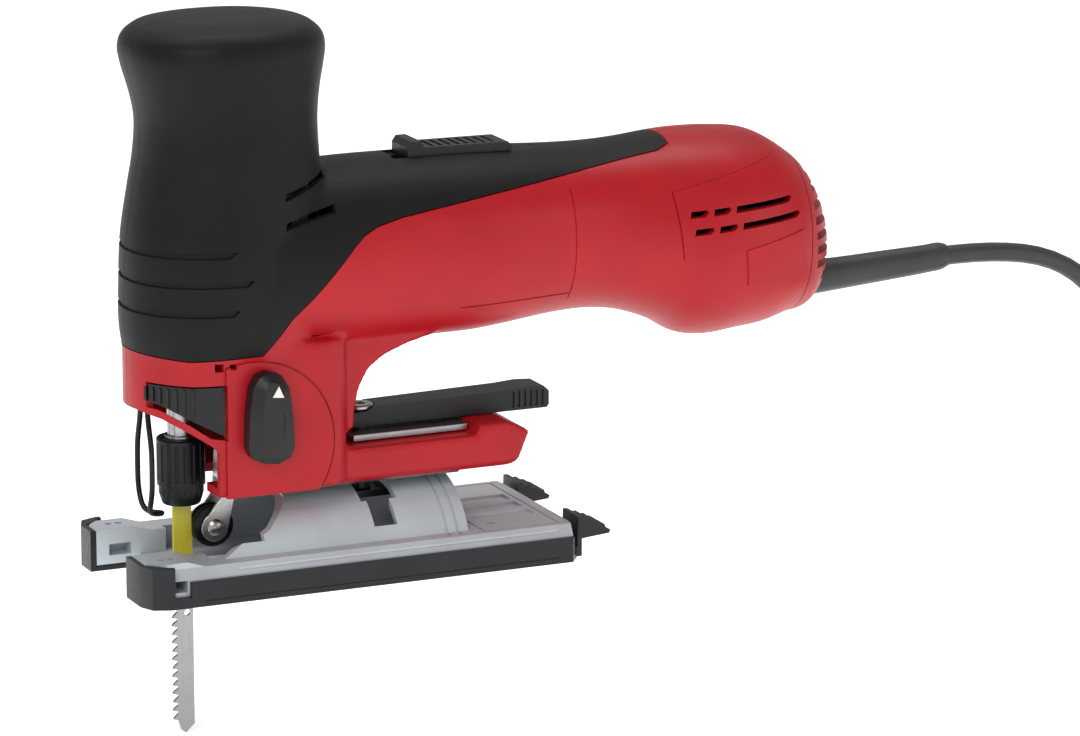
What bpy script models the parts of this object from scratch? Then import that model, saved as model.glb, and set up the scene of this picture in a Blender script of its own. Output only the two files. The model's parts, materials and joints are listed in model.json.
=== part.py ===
"""Body-grip (barrel-grip) corded jigsaw, as separate closed pieces. Lengths below are millimetres, and become metres when a mesh is made.
+X is the cord end, -X the blade end, -Y the side with the blade clamp lever, +Z up. The origin is on the sole of the shoe."""

import math

import bmesh
import bpy
from mathutils import Matrix, Vector

for old in list(bpy.data.objects):
    bpy.data.objects.remove(old, do_unlink=True)

MM = 0.001
GAP = 0.3  # between neighbouring pieces

# overall sizes
BARREL_R = 31.7  # radius of the barrel that the hand goes round
BARREL_Z = 109.3  # height of the motor axis above the sole
GRIP_X = -60.5  # middle of the knob, along the tool
GRIP_TOP = 193.0
WALL = 3.0
SHOE_FRONT, SHOE_REAR, SHOE_W = -104.0, 53.5, 74.0
DRUM_R = 29.0  # the half-drum that the shoe tilts on; its axis is in the sole
BLADE_X = -78.0
STROKE = 26.0
ROLLER_X, ROLLER_Z, ROLLER_R = -67.5, 17.7, 7.3
# drive
MODULE, T_PINION, T_GEAR = 0.8, 9, 54
GEAR_Z = BARREL_Z + MODULE * (T_PINION + T_GEAR) / 2
# cord
CORD_D = 7.0
FLOOR = -55.0  # the tip of the blade, and what the cord lies on
HANK_X, HANK_Y, HANK_HALF = 351.0, -33.5, 36.0  # middle of the hank that the rest of the cord is wound into, and half its straight
HANK_IN, HANK_OUT, HANK_LOW, HANK_HIGH = 7.2, 37.1, FLOOR + 1.2, FLOOR + 29.0


def make(name, verts, faces):
    """A mesh object from millimetre corners, with its faces turned outwards."""
    mesh = bpy.data.meshes.new(name)
    mesh.from_pydata([Vector(v) * MM for v in verts], [], faces)
    bm = bmesh.new()
    bm.from_mesh(mesh)
    bmesh.ops.recalc_face_normals(bm, faces=bm.faces)
    # a face that isn't flat is split into triangles, so that the Booleans read it one way only
    bent = [f for f in bm.faces if max(abs((v.co - f.verts[0].co).dot(f.normal)) for v in f.verts) > 1e-8]
    bmesh.ops.triangulate(bm, faces=bent)
    bm.to_mesh(mesh)
    bm.free()
    obj = bpy.data.objects.new(name, mesh)
    bpy.context.scene.collection.objects.link(obj)
    return obj


def loft(name, rings):
    n = len(rings[0])
    verts = [p for ring in rings for p in ring]
    faces = [tuple(range(n)), tuple(range(len(verts) - n, len(verts)))]
    for i in range(len(rings) - 1):
        for k in range(n):
            j = (k + 1) % n
            faces.append((i * n + k, i * n + j, (i + 1) * n + j, (i + 1) * n + k))
    return make(name, verts, faces)


def place(axis, u, v, w):
    """(u, v) across the axis and w along it, as x, y, z."""
    return {"X": (w, u, v), "Y": (u, w, v), "Z": (u, v, w)}[axis]


def prism(name, outline, axis, lo, hi):
    return loft(name, [[place(axis, u, v, w) for u, v in outline] for w in (lo, hi)])


def box(name, x0, x1, y0, y1, z0, z1):
    return prism(name, [(x0, y0), (x1, y0), (x1, y1), (x0, y1)], "Z", z0, z1)


def circle(u, v, r, n=24, turn=0.0):
    return [(u + r * math.cos(turn + 2 * math.pi * k / n), v + r * math.sin(turn + 2 * math.pi * k / n)) for k in range(n)]


def rod(name, axis, u, v, steps, n=24):
    """Round piece about an axis: steps is (place along the axis, radius)."""
    return loft(name, [[place(axis, a, b, w) for a, b in circle(u, v, r, n)] for w, r in steps])


def superellipse(cu, cv, ru, rv, e, n):
    out = []
    for k in range(n):
        t = 2 * math.pi * k / n
        c, s = math.cos(t), math.sin(t)
        out.append((cu + ru * math.copysign(abs(c) ** (2 / e), c), cv + rv * math.copysign(abs(s) ** (2 / e), s)))
    return out


def boolean(a, b, how):
    mod = a.modifiers.new("cut", "BOOLEAN")
    mod.operation, mod.solver, mod.object = how, "EXACT", b
    bpy.context.view_layer.update()
    mesh = bpy.data.meshes.new_from_object(a.evaluated_get(bpy.context.evaluated_depsgraph_get()))
    a.modifiers.clear()
    a.data = mesh
    bpy.data.objects.remove(b, do_unlink=True)
    return a


def cut(a, *others):
    for b in others:
        boolean(a, b, "DIFFERENCE")
    return a


def join(a, *others):
    for b in others:
        boolean(a, b, "UNION")
    return a


def both(a, b):
    return boolean(a, b, "INTERSECT")


def copy(obj, name):
    new = bpy.data.objects.new(name, obj.data.copy())
    bpy.context.scene.collection.objects.link(new)
    return new


def named(obj, name):
    obj.name = name
    obj.data.name = name
    return obj


# ---------------------------------------------------------------- housing
# Knob and column: height, middle, half-length and half-width
RISE = (GRIP_TOP - 135.0) / 58.0  # above the waist the knob stretches with its height
KNOB = [(79.5, -62.0, 34.6, 25.4), (87, -62.5, 35.0, 27.8), (104, -62.3, 35.0, 29.6), (120, -61.8, 34.6, 29.6), (135, -60.9, 33.0, 29.0),
        (148, -60.3, 31.2, 28.6), (160, -60.2, 30.7, 28.6), (170, -60.8, 32.2, 29.8), (178, -61.3, 34.0, 31.4), (184, -61.4, 34.6, 32.0),
        (188.5, -61.2, 32.6, 30.2), (191.4, -60.8, 27.6, 25.6), (192.7, -60.5, 20.0, 18.5), (193.0, -60.5, 12.0, 11.0)]
KNOB = [(z if z < 136 else 135.0 + (z - 135.0) * RISE, cx, rx, ry) for z, cx, rx, ry in KNOB]
# Barrel and motor housing: place along the tool, height of the middle, half-width, half-height
BARREL = [(-52, BARREL_Z, BARREL_R - 1.5, BARREL_R - 1.5), (-30, BARREL_Z, BARREL_R, BARREL_R), (20, BARREL_Z, BARREL_R, BARREL_R),
          (88, BARREL_Z - 0.8, BARREL_R - 0.3, BARREL_R - 0.8), (97, BARREL_Z - 2.3, 33.4, 33.2), (104, BARREL_Z - 4.2, 35.6, 35.6),
          (112, BARREL_Z - 4.9, 36.6, 36.4), (124, BARREL_Z - 4.7, 36.6, 35.6), (135, BARREL_Z - 5.0, 34.6, 34.2),
          (145.5, BARREL_Z - 6.7, 30.2, 29.8), (152, BARREL_Z - 9.1, 25.4, 26.6), (157, BARREL_Z - 11.3, 19.5, 20.5), (160.6, BARREL_Z - 12.5, 12.5, 13.4)]
HEAD_FRONT, HEAD_REAR, HEAD_Y = -97.0, -25.0, 25.0


def head_outline(inset):
    """The head in plan: a round nose about the blade, straight sides and rounded rear corners."""
    out = []
    for k in range(13):
        t = math.pi / 2 + math.pi * k / 12
        out.append((-70 + (27 - inset) * math.cos(t), (HEAD_Y - inset) * math.sin(t)))
    for k in range(5):
        t = -math.pi / 2 + math.pi / 2 * k / 4
        out.append((HEAD_REAR - 8 + (8 - inset) * math.cos(t), -HEAD_Y + 8 + (8 - inset) * math.sin(t)))
    for k in range(5):
        t = math.pi / 2 * k / 4
        out.append((HEAD_REAR - 8 + (8 - inset) * math.cos(t), HEAD_Y - 8 + (8 - inset) * math.sin(t)))
    return out


def column(inset, extra=0.0):
    rings = []
    for z, cx, rx, ry in KNOB:
        zz = z if z < GRIP_TOP - 7 else z - inset
        rings.append([(x, y, zz) for x, y in superellipse(cx, 0, rx - inset + extra, ry - inset + extra, 2.2, 32)])
    return loft("column", rings)


def barrel(inset, extra=0.0):
    rings = []
    for x, cz, ry, rz in BARREL:
        xx = x if x < 140 else x - inset
        rings.append([(xx, y, z) for y, z in superellipse(0, cz, ry - inset + extra, rz - inset + extra, 2.15, 32)])
    return loft("barrel", rings)


def fillet_block(inset):
    """The web that rounds the corner under the barrel, behind the head."""
    pts = [(-40, 50), (HEAD_REAR + 3.6 - inset, 50), (HEAD_REAR + 4.6 - inset, 62), (HEAD_REAR + 7.6 - inset, 69.5), (HEAD_REAR + 13 - inset, 74.4),
           (HEAD_REAR + 22 - inset, 77.4), (HEAD_REAR + 32 - inset, 79.5), (0, 90), (-40, 90)]
    return prism("web", pts, "Y", -18 + inset, 18 - inset)


def tail_block():
    w = 20.0
    pts = [(-60, 31.0), (35.2, 31.0), (38.6, 32.6), (43.2, 43.5), (36, 47.4), (24, 47.4), (24, 43.9), (-60, 43.9)]
    # its lower edges are bevelled, because the tilted shoe comes up to them
    body = both(prism("tail", pts, "Y", -w, w), prism("bevel", [(-w, 60), (-w, 33.6), (-w + 2.4, 31.4), (w - 2.4, 31.4), (w, 33.6), (w, 60)], "X", -70, 50))
    # the shoulder that carries the steel plate
    return join(body, box("step", -60, 23.9, -14.6, 14.6, 43.2, 44.1))


def outside(extra=0.0):
    head = prism("head", head_outline(-extra), "Z", 33.0, 84.0)
    return join(column(0, extra), barrel(0, extra), head, fillet_block(-extra), tail_block())


def inside():
    head = prism("head_in", head_outline(WALL), "Z", 36.0, 86.0)
    return join(column(WALL), barrel(WALL), head)


# The chin: everything below this line, ahead of the lower block, is open round the blade
CHIN = [(-110, 63.4), (-96.2, 62.4), (-90.6, 60.6), (-82.8, 56.0), (-75.3, 51.0), (-73.2, 49.0), (-73.2, 20), (-110, 20)]
# The soft grip's lower edge along the tool, then a loop over the top
GRIP = [(-112, 84.6), (-96.8, 82.6), (-82.5, 80.8), (-57.5, 81.4), (-22.5, 121.0), (-8, 124.6), (28, 129.5), (70, 134.2), (93, 137.0), (99.5, 141), (99.5, 150), (80, GRIP_TOP + 22), (-112, GRIP_TOP + 22)]
# Windows for the two vent panels, in the X-Z plane
PANEL = [(92.6, 124.6), (95.4, 101.4), (141.2, 109.6), (137.0, 133.6)]
CAP_X = 146.0


def grown(poly, by):
    cx, cz = sum(p[0] for p in poly) / len(poly), sum(p[1] for p in poly) / len(poly)
    out = []
    for x, z in poly:
        d = math.hypot(x - cx, z - cz)
        out.append((x + (x - cx) / d * by, z + (z - cz) / d * by))
    return out


def shifted(poly, dx, dz):
    return [(x + dx, z + dz) for x, z in poly]


shell = cut(outside(), inside(), prism("chin", CHIN, "Y", -60, 60))
# open the bottom of the head for the roller fork, and the room that the chuck rises into
cut(shell, box("chuck_room", -91.5, -64, -11, 11, 20, 70), box("fork_room", -76, -50, -12, 12, 20, 45))
# the hole down through the tail for the clamp bolt
cut(shell, rod("bolt_hole", "Z", -12.5, 0, [(20, 4.4), (60, 4.4)], 16))
# the notch under the tail for the saddle plate
cut(shell, box("saddle_room", -46, 20.4, -17.3, 17.3, 20, 33.1))
# the slanted intake grille at the rear is a separate cap; the tail, head and barrel are split down the middle
cap = both(copy(shell, "rear_cap"), box("b", CAP_X + GAP, 200, -60, 60, 40, 160))
cut(shell, box("b", CAP_X, 200, -60, 60, 40, 160))
# cord entry
EXIT = (163.2, 83.2)
cut(cap, rod("entry", "X", 0, 83.0, [(140, 6.9), (190, 6.9)], 16))
for z in (91.0, 98.0, 105.0, 112.0, 119.0):
    cut(cap, box("rib_slot", 160.0 - abs(z - 97) * 0.28, 180, -13, 13, z - 1.6, z + 1.6))
named(cap, "rear_cap")

# release lever window, on the near side of the nose
LEVER_BAND = [(-103, 72.4), (-96, 72.4), (-82, 71.6), (-71.6, 71.6), (-71.6, 54.6), (-82.3, 60.2), (-91.4, 65.4), (-103, 67.0)]
LEVER_PLAN = [(-71.7, -40), (-71.7, -19.6), (-82.5, -15.4), (-87.2, -10.6), (-103, -14.5), (-103, -40)]


def nose(inset):
    return prism("nose", head_outline(inset), "Z", 48.0, 80.0)


lever = both(cut(nose(0.0), nose(3.4)), prism("plan", LEVER_PLAN, "Z", 40, 90))
both(lever, prism("band", LEVER_BAND, "Y", -60, 60))
slot = both(cut(nose(-3.0), nose(3.9)), prism("plan", [(-70.5, -40), (-70.5, -17.4), (-84, -12.6), (-88, -9.8), (-104, -12.6), (-104, -40)], "Z", 40, 90))
both(slot, prism("band", [(-104, 72.9), (-96, 72.9), (-82, 72.1), (-70.6, 72.1), (-70.6, 53.0), (-76.2, 54.0), (-82.3, 58.4), (-91.4, 63.6), (-104, 65.4)], "Y", -60, 60))
cut(shell, slot)
named(lever, "release_lever")

# knob exhaust slots, through the grip on both sides
for z in (124.4, 134.4):
    bar = prism("exhaust", [(-50, z - 1.0), (-31, z + 3.4), (-31, z + 6.0), (-50, z + 1.4)], "Y", -60, 60)
    cut(shell, bar)

# switch recess along the top of the barrel
cut(shell, box("recess", -2.35, 52.1, -7.85, 7.85, 139.45, 160), box("stem_hole", -1.5, 10.5, -3.1, 3.1, 130, 160))

# selector shaft, through the near side
SELECT = (-58.5, 52.5)
cut(shell, rod("select_hole", "Y", SELECT[0], SELECT[1], [(-40, 4.4), (-15, 4.4)], 16))

# screws go in from the far side
SCREWS = [(-66, 46.0), (-36, 46.0), (-26, 92.0), (70, 84.0), (128, 76.0)]

soft = both(copy(shell, "soft"), prism("g", GRIP, "Y", -70, 70))
hard = cut(shell, prism("g", shifted(GRIP, 0, -GAP)[:10] + [(99.8, 150), (80, GRIP_TOP + 22), (-112, GRIP_TOP + 22)], "Y", -70, 70))

panel_solid = cut(barrel(0, 0.7), barrel(2.6))
for side, name in ((-1, "left"), (1, "right")):
    y0, y1 = sorted((side * 15.0, side * 70.0))
    p = both(copy(panel_solid, "p"), prism("w", PANEL, "Y", y0, y1))
    for (xa, za), (xb, zb) in (((101.4, 119.6), (139.0, 125.0)), ((103.4, 110.6), (141.0, 116.0))):
        cut(p, prism("s", [(xa, za - 1.2), (xb - 3.2, zb - 1.2), (xb - 3.2, zb + 1.2), (xa, za + 1.2)], "Y", y0, y1))
    named(p, name + "_vent_panel")
    cut(hard, prism("w", grown(PANEL, 0.5), "Y", y0, y1))
bpy.data.objects.remove(panel_solid, do_unlink=True)

for side, name in ((-1, "left"), (1, "right")):
    y0, y1 = sorted((side * GAP / 2, side * 80.0))
    for source, kind in ((hard, "housing"), (soft, "grip")):
        half = both(copy(source, "half"), box("b", -150, 220, y0, y1, -50, 250))
        named(half, f"{name}_{kind}")
bpy.data.objects.remove(hard, do_unlink=True)
bpy.data.objects.remove(soft, do_unlink=True)

# ---------------------------------------------------------------- gear frame and drive
frame = box("gear_frame", -43, -37, -16, 16, 84, 143)
join(frame, rod("boss", "X", 0, BARREL_Z, [(-43, 12.2), (-28.6, 12.2)]),
     box("low_arm", -88, -42, -10.5, 10.5, 84, 94), box("top_post", -43, -37, -11, 11, 142, 164), box("top_arm", -86, -40, -9.5, 9.5, 158, 164))
cut(frame, rod("seat", "X", 0, BARREL_Z, [(-36.7, 9.8), (-20, 9.8)]), rod("shaft_hole", "X", 0, BARREL_Z, [(-50, 6.0), (-30, 6.0)]),
    rod("bore1", "Z", BLADE_X, 0, [(80, 8.2), (98, 8.2)]), rod("bore2", "Z", BLADE_X, 0, [(150, 8.2), (170, 8.2)]),
    rod("axle_hole", "X", 0, GEAR_Z, [(-50, 4.3), (-30, 4.3)]))
for name, z0, z1 in (("lower_bush", 83, 95), ("upper_bush", 157.6, 164.4)):
    cut(rod(name, "Z", BLADE_X, 0, [(z0, 7.9), (z1, 7.9)]), rod("b", "Z", BLADE_X, 0, [(z0 - 1, 4.9), (z1 + 1, 4.9)]))


def gear(name, teeth, module, cy, cz, x0, x1, outer, root, width, bore, turn):
    pts = []
    for k in range(teeth):
        for radius, share in ((root, -0.5), (outer, -0.24), (outer, 0.24), (root, 0.5)):
            t = turn + 2 * math.pi * (k + share * width) / teeth
            pts.append((cy + radius * math.cos(t), cz + radius * math.sin(t)))
    g = prism(name, pts, "X", x0, x1)
    return cut(g, rod("bore", "X", cy, cz, [(x0 - 5, bore), (x1 + 5, bore)])) if bore else g


wheel = gear("crank_gear", T_GEAR, MODULE, 0, GEAR_Z, -54, -47.8, 22.1, 20.7, 0.56, 4.4, -math.pi / 2)
join(wheel, rod("pin", "X", 0, GEAR_Z - STROKE / 2, [(-65.4, 3.0), (-51, 3.0)], 16))
named(wheel, "crank_gear")
rod("crank_axle", "X", 0, GEAR_Z, [(-56.5, 4.0), (-34, 4.0)], 16)
pinion = gear("armature_shaft", T_PINION, MODULE, 0, BARREL_Z, -54.5, -46.5, 4.2, 2.7, 0.56, 0, math.pi / 2 + math.pi / T_PINION)
join(pinion, rod("shaft", "X", 0, BARREL_Z, [(-46.8, 3.9), (147, 3.9)], 16))
named(pinion, "armature_shaft")


def ring(name, axis, u, v, lo, hi, outer, inner, n=24):
    return cut(rod(name, axis, u, v, [(lo, outer), (hi, outer)], n), rod("b", axis, u, v, [(lo - 2, inner), (hi + 2, inner)], n))


ring("front_bearing", "X", 0, BARREL_Z, -36.3, -29.3, 9.4, 4.3)
ring("rear_bearing", "X", 0, BARREL_Z, 137.5, 144.5, 9.4, 4.3)
ring("armature_core", "X", 0, BARREL_Z, 24, 84, 16.4, 4.3)
ring("commutator", "X", 0, BARREL_Z, 103, 121, 10.0, 4.3)
ring("stator", "X", 0, BARREL_Z, 20, 88, 24.6, 17.4)
fan = ring("fan", "X", 0, BARREL_Z, -16, -13.6, 26.0, 4.3)
for k in range(8):
    t = 2 * math.pi * k / 8
    c, s = math.cos(t), math.sin(t)
    blade = [(9 * c - 0.9 * s, 9 * s + 0.9 * c), (25 * c - 0.9 * s, 25 * s + 0.9 * c), (25 * c + 0.9 * s, 25 * s - 0.9 * c), (9 * c + 0.9 * s, 9 * s - 0.9 * c)]
    join(fan, prism("v", [(y, BARREL_Z + z) for y, z in blade], "X", -23, -15))
named(fan, "fan")
bridge = box("bearing_bridge", 137, 145.4, -20.5, 20.5, BARREL_Z - 12.5, BARREL_Z + 12.5)
both(bridge, barrel(WALL + GAP))
cut(bridge, rod("b", "X", 0, BARREL_Z, [(130, 9.8), (150, 9.8)]))
for side, name in ((-1, "left"), (1, "right")):
    y0, y1 = sorted((side * 12.0, side * 27.0))
    holder = box(name + "_brush_holder", 106, 118, y0, y1, BARREL_Z - 6.5, BARREL_Z + 6.5)
    cut(holder, box("b", 108.2, 115.8, -40, 40, BARREL_Z - 4.3, BARREL_Z + 4.3))
    y0, y1 = sorted((side * 10.4, side * 24.0))
    box(name + "_brush", 108.6, 115.4, y0, y1, BARREL_Z - 3.9, BARREL_Z + 3.9)
switch = box("switch_module", -9, 18, -8, 8, 124, 135.4)
slider = prism("slide_switch", [(3.2, 139.8), (42.0, 139.8), (42.0, 141.6), (40.4, 142.9), (9.4, 143.3), (8.2, 145.3), (4.6, 145.3), (3.2, 143.6)], "Y", -7.0, 7.0)
join(slider, box("stem", 3.6, 9.4, -2.6, 2.6, 136.0, 140.6))
named(slider, "slide_switch")

# ---------------------------------------------------------------- plunger, chuck and blade
plunger = rod("plunger", "Z", BLADE_X, 0, [(28.4, 4.6), (30.4, 5.6), (50.6, 5.6)], 20)
join(plunger, rod("r", "Z", BLADE_X, 0, [(49, 4.5), (161, 4.5), (162, 3.6)], 20))
cut(plunger, box("b", BLADE_X - 4.6, BLADE_X + 4.6, -0.95, 0.95, 20, 45.4))
named(plunger, "plunger")
slot_z = GEAR_Z - STROKE / 2
yoke = box("yoke", -72.6, -66, -20, 20, slot_z - 6.6, slot_z + 6.6)
cut(yoke, box("b", -80, -60, -16.6, 16.6, slot_z - 3.5, slot_z + 3.5))
join(yoke, box("hub1", -86, -70.6, -7.6, 7.6, slot_z - 6.6, slot_z - 3.5), box("hub2", -86, -70.6, -7.6, 7.6, slot_z + 3.5, slot_z + 6.6))
cut(yoke, rod("b", "Z", BLADE_X, 0, [(100, 4.9), (140, 4.9)], 20))
named(yoke, "yoke")

sleeve = rod("chuck_sleeve", "Z", BLADE_X, 0, [(26.6, 6.6), (30.5, 7.9), (33.5, 7.9), (33.5, 8.4), (49.6, 8.4)], 24)
cut(sleeve, rod("b", "Z", BLADE_X, 0, [(20, 5.95), (60, 5.95)], 24))
named(sleeve, "chuck_sleeve")

# T-shank blade, 100 mm long, 3 mm tooth pitch, its teeth forward
top, tip, back, edge = 45.0, -55.0, BLADE_X + 3.5, BLADE_X - 4.1
pts = [(BLADE_X - 3.3, top), (BLADE_X + 3.3, top), (BLADE_X + 3.3, 16.0), (back, 14.0), (back, tip + 3.0), (BLADE_X + 0.4, tip), (BLADE_X - 1.2, tip + 1.0), (edge + 2.0, tip + 4.0)]
z = tip + 4.0
while z + 3.0 < 12.0:
    pts += [(edge + 1.9, z + 0.7), (edge, z + 1.2), (edge + 1.9, z + 3.0)]
    z += 3.0
pts += [(edge + 0.8, z + 0.6), (BLADE_X - 3.3, z + 2.6)]
saw = prism("saw_blade", pts, "Y", -0.6, 0.6)
cut(saw, rod("b", "Y", BLADE_X + 1.4, -12.4, [(-2, 1.1), (2, 1.1)], 8))

# ---------------------------------------------------------------- roller, fork, guard
FORK = (-61.0, 40.0)
fork = prism("roller_fork", [(-71.6, 14.2), (-68.5, 12.6), (-65.0, 13.2), (-62.4, 16.6), (-57.8, 38.2), (-57.8, 43.0), (-64.2, 43.0), (-65.4, 26.0), (-70.8, 22.0), (-72.4, 18.6)], "Y", -4.8, 4.8)
cut(fork, box("b", -80, -50, -3.7, 3.7, 5, 33.5), rod("pin_hole", "Y", ROLLER_X, ROLLER_Z, [(-8, 1.8), (8, 1.8)], 12), rod("pivot_hole", "Y", FORK[0], FORK[1], [(-8, 2.3), (8, 2.3)], 12))
named(fork, "roller_fork")
roller = loft("support_roller", [[(ROLLER_X + r * math.cos(2 * math.pi * k / 28), y, ROLLER_Z + r * math.sin(2 * math.pi * k / 28)) for k in range(28)]
                                 for y, r in ((-3.3, 6.3), (-2.8, 7.3), (-1.4, 7.3), (-0.8, 6.7), (0.8, 6.7), (1.4, 7.3), (2.8, 7.3), (3.3, 6.3))])
cut(roller, rod("b", "Y", ROLLER_X, ROLLER_Z, [(-8, 1.8), (8, 1.8)], 12))
rod("roller_pin", "Y", ROLLER_X, ROLLER_Z, [(-5.7, 1.2), (-5.2, 1.5), (5.2, 1.5), (5.7, 1.2)], 12)
rod("fork_pivot", "Y", FORK[0], FORK[1], [(-11.6, 2.0), (11.6, 2.0)], 12)


def wire(name, points, d, sides=8):
    """A round wire through points, as rings turned with the path."""
    pts = [Vector(p) for p in points]
    rings, normal = [], None
    for i, p in enumerate(pts):
        t = (pts[min(i + 1, len(pts) - 1)] - pts[max(i - 1, 0)]).normalized()
        if normal is None:
            normal = t.orthogonal().normalized()
        normal = (normal - t * normal.dot(t)).normalized()
        side = t.cross(normal)
        rings.append([tuple(p + d / 2 * (normal * math.cos(2 * math.pi * k / sides) + side * math.sin(2 * math.pi * k / sides))) for k in range(sides)])
    return loft(name, rings)


GUARD_X = -91.0
left = [(GUARD_X, -3.2, 71.0), (GUARD_X, -3.2, 60.0), (GUARD_X, -4.4, 55.0), (GUARD_X, -6.6, 49.0), (GUARD_X, -7.0, 44.0), (GUARD_X, -6.9, 33.0), (GUARD_X, -5.0, 28.0), (GUARD_X + 0.4, -2.6, 24.9), (GUARD_X + 3.0, -1.2, 23.7), (GUARD_X + 6.0, -0.6, 23.5)]
guard = wire("wire_guard", left + [(x, -y, z) for x, y, z in left[::-1]], 1.9)

# ---------------------------------------------------------------- selector, clamp lever, saddle
outline = [(-65.4, 50.2), (-64.0, 72.0), (-61.4, 75.6), (-57.0, 76.6), (-53.0, 75.0), (-50.0, 69.0), (-48.6, 50.0), (-50.4, 46.4), (-54.6, 44.6), (-60.0, 45.2), (-63.8, 47.2)]
knob = loft("orbit_selector", [[(x + (SELECT[0] + 1 - x) * s, y, z + (60 - z) * s) for x, z in outline] for y, s in ((-25.6, 0.0), (-31.5, 0.04), (-33.6, 0.14), (-34.4, 0.28))])
join(knob, rod("stem", "Y", SELECT[0], SELECT[1], [(-26.4, 4.0), (-13.4, 4.0)], 16))
named(knob, "orbit_selector")
cam = rod("orbit_cam", "Y", SELECT[0] + 1.0, SELECT[1] + 1.2, [(-13.0, 4.6), (-7.6, 4.6)], 16)

BOLT_X = -12.5
arm = prism("clamp_lever", [(-19.6, 47.7), (56.0, 47.5), (56.3, 53.4), (54.4, 55.2), (48.0, 55.6), (-8.6, 54.2), (-12.0, 52.6), (-19.6, 52.6)], "Y", -6.0, 6.0)
both(arm, prism("plan", [(-19.6, -3.4), (-17.4, -6.0), (60, -6.0), (60, 6.0), (-17.4, 6.0), (-19.6, 3.4)], "Z", 40, 60))
cut(arm, rod("b", "Z", BOLT_X, 0, [(40, 3.3), (60, 3.3)], 16), rod("sink", "Z", BOLT_X, 0, [(52.6, 5.3), (60, 5.3)], 16))
named(arm, "clamp_lever")
screw = rod("clamp_screw", "Z", BOLT_X, 0, [(44.0, 2.9), (54.0, 2.9)], 16)
named(join(screw, rod("h", "Z", BOLT_X, 0, [(53.0, 4.9), (53.9, 4.9), (54.6, 4.1)], 16)), "clamp_screw")
track = box("clamp_plate", -20.0, 22.4, -13.0, 13.0, 44.4, 46.8)
cut(track, rod("b", "Z", BOLT_X, 0, [(40, 3.3), (60, 3.3)], 16))
saddle = prism("saddle_plate", [(-11.4, DRUM_R + 0.4), (11.4, DRUM_R + 0.4), (12.8, 31.5), (16.8, 31.5), (16.8, 32.8), (-16.8, 32.8), (-16.8, 31.5), (-12.8, 31.5)], "X", -45.4, 19.8)
cut(saddle, rod("b", "Z", BOLT_X, 0, [(20, 4.3), (40, 4.3)], 16))
bolt = rod("clamp_bolt", "Z", BOLT_X, 0, [(DRUM_R - 4.8, 3.9), (43.6, 3.9)], 16)
join(bolt, box("t", BOLT_X - 9, BOLT_X + 9, -6, 6, DRUM_R - 6.4, DRUM_R - 4.0))
named(bolt, "clamp_bolt")

# ---------------------------------------------------------------- shoe: cast plate with its half-drum, cover, insert
W2 = SHOE_W / 2
NEAR_IN, FAR_IN = -15.6, 19.5  # inner faces of the two prongs
RIM = W2 - 5.4  # where the plate's top starts to slope to its edge
side = [(-W2 + 2.3, 2.0), (-W2 + 2.3, 9.0), (-RIM, 12.4), (RIM, 12.4), (W2 - 2.3, 9.0), (W2 - 2.3, 2.0)]
r = 7.0
plan = [(SHOE_FRONT + 4.8 + r, -W2), (SHOE_REAR - 1.4, -W2), (SHOE_REAR + 0.0, -W2 + 9), (SHOE_REAR + 0.0, W2 - 9), (SHOE_REAR - 1.4, W2), (SHOE_FRONT + 4.8 + r, W2), (SHOE_FRONT + 2.2, W2 - r - 2.6), (SHOE_FRONT + 2.2, -W2 + r + 2.6)]
plate = prism("shoe_plate", side, "X", SHOE_FRONT - 5, SHOE_REAR + 5)
# prong bosses, sloped down behind the chuck's reach
for y0, y1 in ((-RIM, NEAR_IN), (FAR_IN, RIM)):
    join(plate, prism("boss", [(SHOE_FRONT - 3, 3), (SHOE_FRONT + 2.0, 13.6), (SHOE_FRONT + 3, 14.4), (-88.0, 14.4), (-80.0, 11.9), (-80.0, 3)], "Y", y0, y1))
both(plate, prism("plan", plan, "Z", -5, 40))
# the drum
hollow = DRUM_R - 2.6
drum = both(rod("drum", "X", 0, 0, [(-72, DRUM_R - GAP / 2), (17.0, DRUM_R - GAP / 2)], 48), box("b", -80, 30, -40, 40, 3, 40))
cut(drum, prism("front", [(-80, 45), (-43.0, 45), (-44.6, 27.1), (-54.3, 19.4), (-65.2, 16.4), (-73, 12.0), (-80, 12.0)], "Y", -50, 50))
join(plate, drum)
# room for the fork over the whole tilt
cut(plate, prism("fork_way", [(-15.5, 8.3), (15.5, 8.3), (40, 32.8), (40, 45), (-40, 45), (-40, 32.8)], "X", -74.5, -57.0))
cut(plate, both(rod("h", "X", 0, 0, [(-76.5, hollow), (18.5, hollow)], 48), box("b", -80, 30, -40, 40, 4.4, 40)))
# the notch between the prongs, the blade slot behind it, and the bolt's slot in the drum
cut(plate, box("notch", -120, -86, NEAR_IN, FAR_IN, -5, 40), box("notch2", -88, -75.9, NEAR_IN, FAR_IN, 4.4, 40), box("slot", -90, -60, -6.6, 6.6, -5, 10))
cut(plate, box("arc_slot", BOLT_X - 4.9, BOLT_X + 4.9, -DRUM_R + 4.2, DRUM_R - 4.2, 12.8, 40))
# guide-bar slots across each prong, and the screws' holes above them
for y0, y1 in ((-50, -20), (12, 26)):
    cut(plate, box("bar", -97.2, -89.2, y0, y1, 5.0, 9.0))
for y in (-25.0, 26.0):
    for x in (-95.0, -91.4):
        cut(plate, rod("hole", "Z", x, y, [(8, 1.2), (20, 1.2)], 8))
cut(plate, rod("hole", "Z", 28, -20, [(9, 1.6), (20, 1.6)], 10))
named(plate, "shoe_plate")

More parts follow.
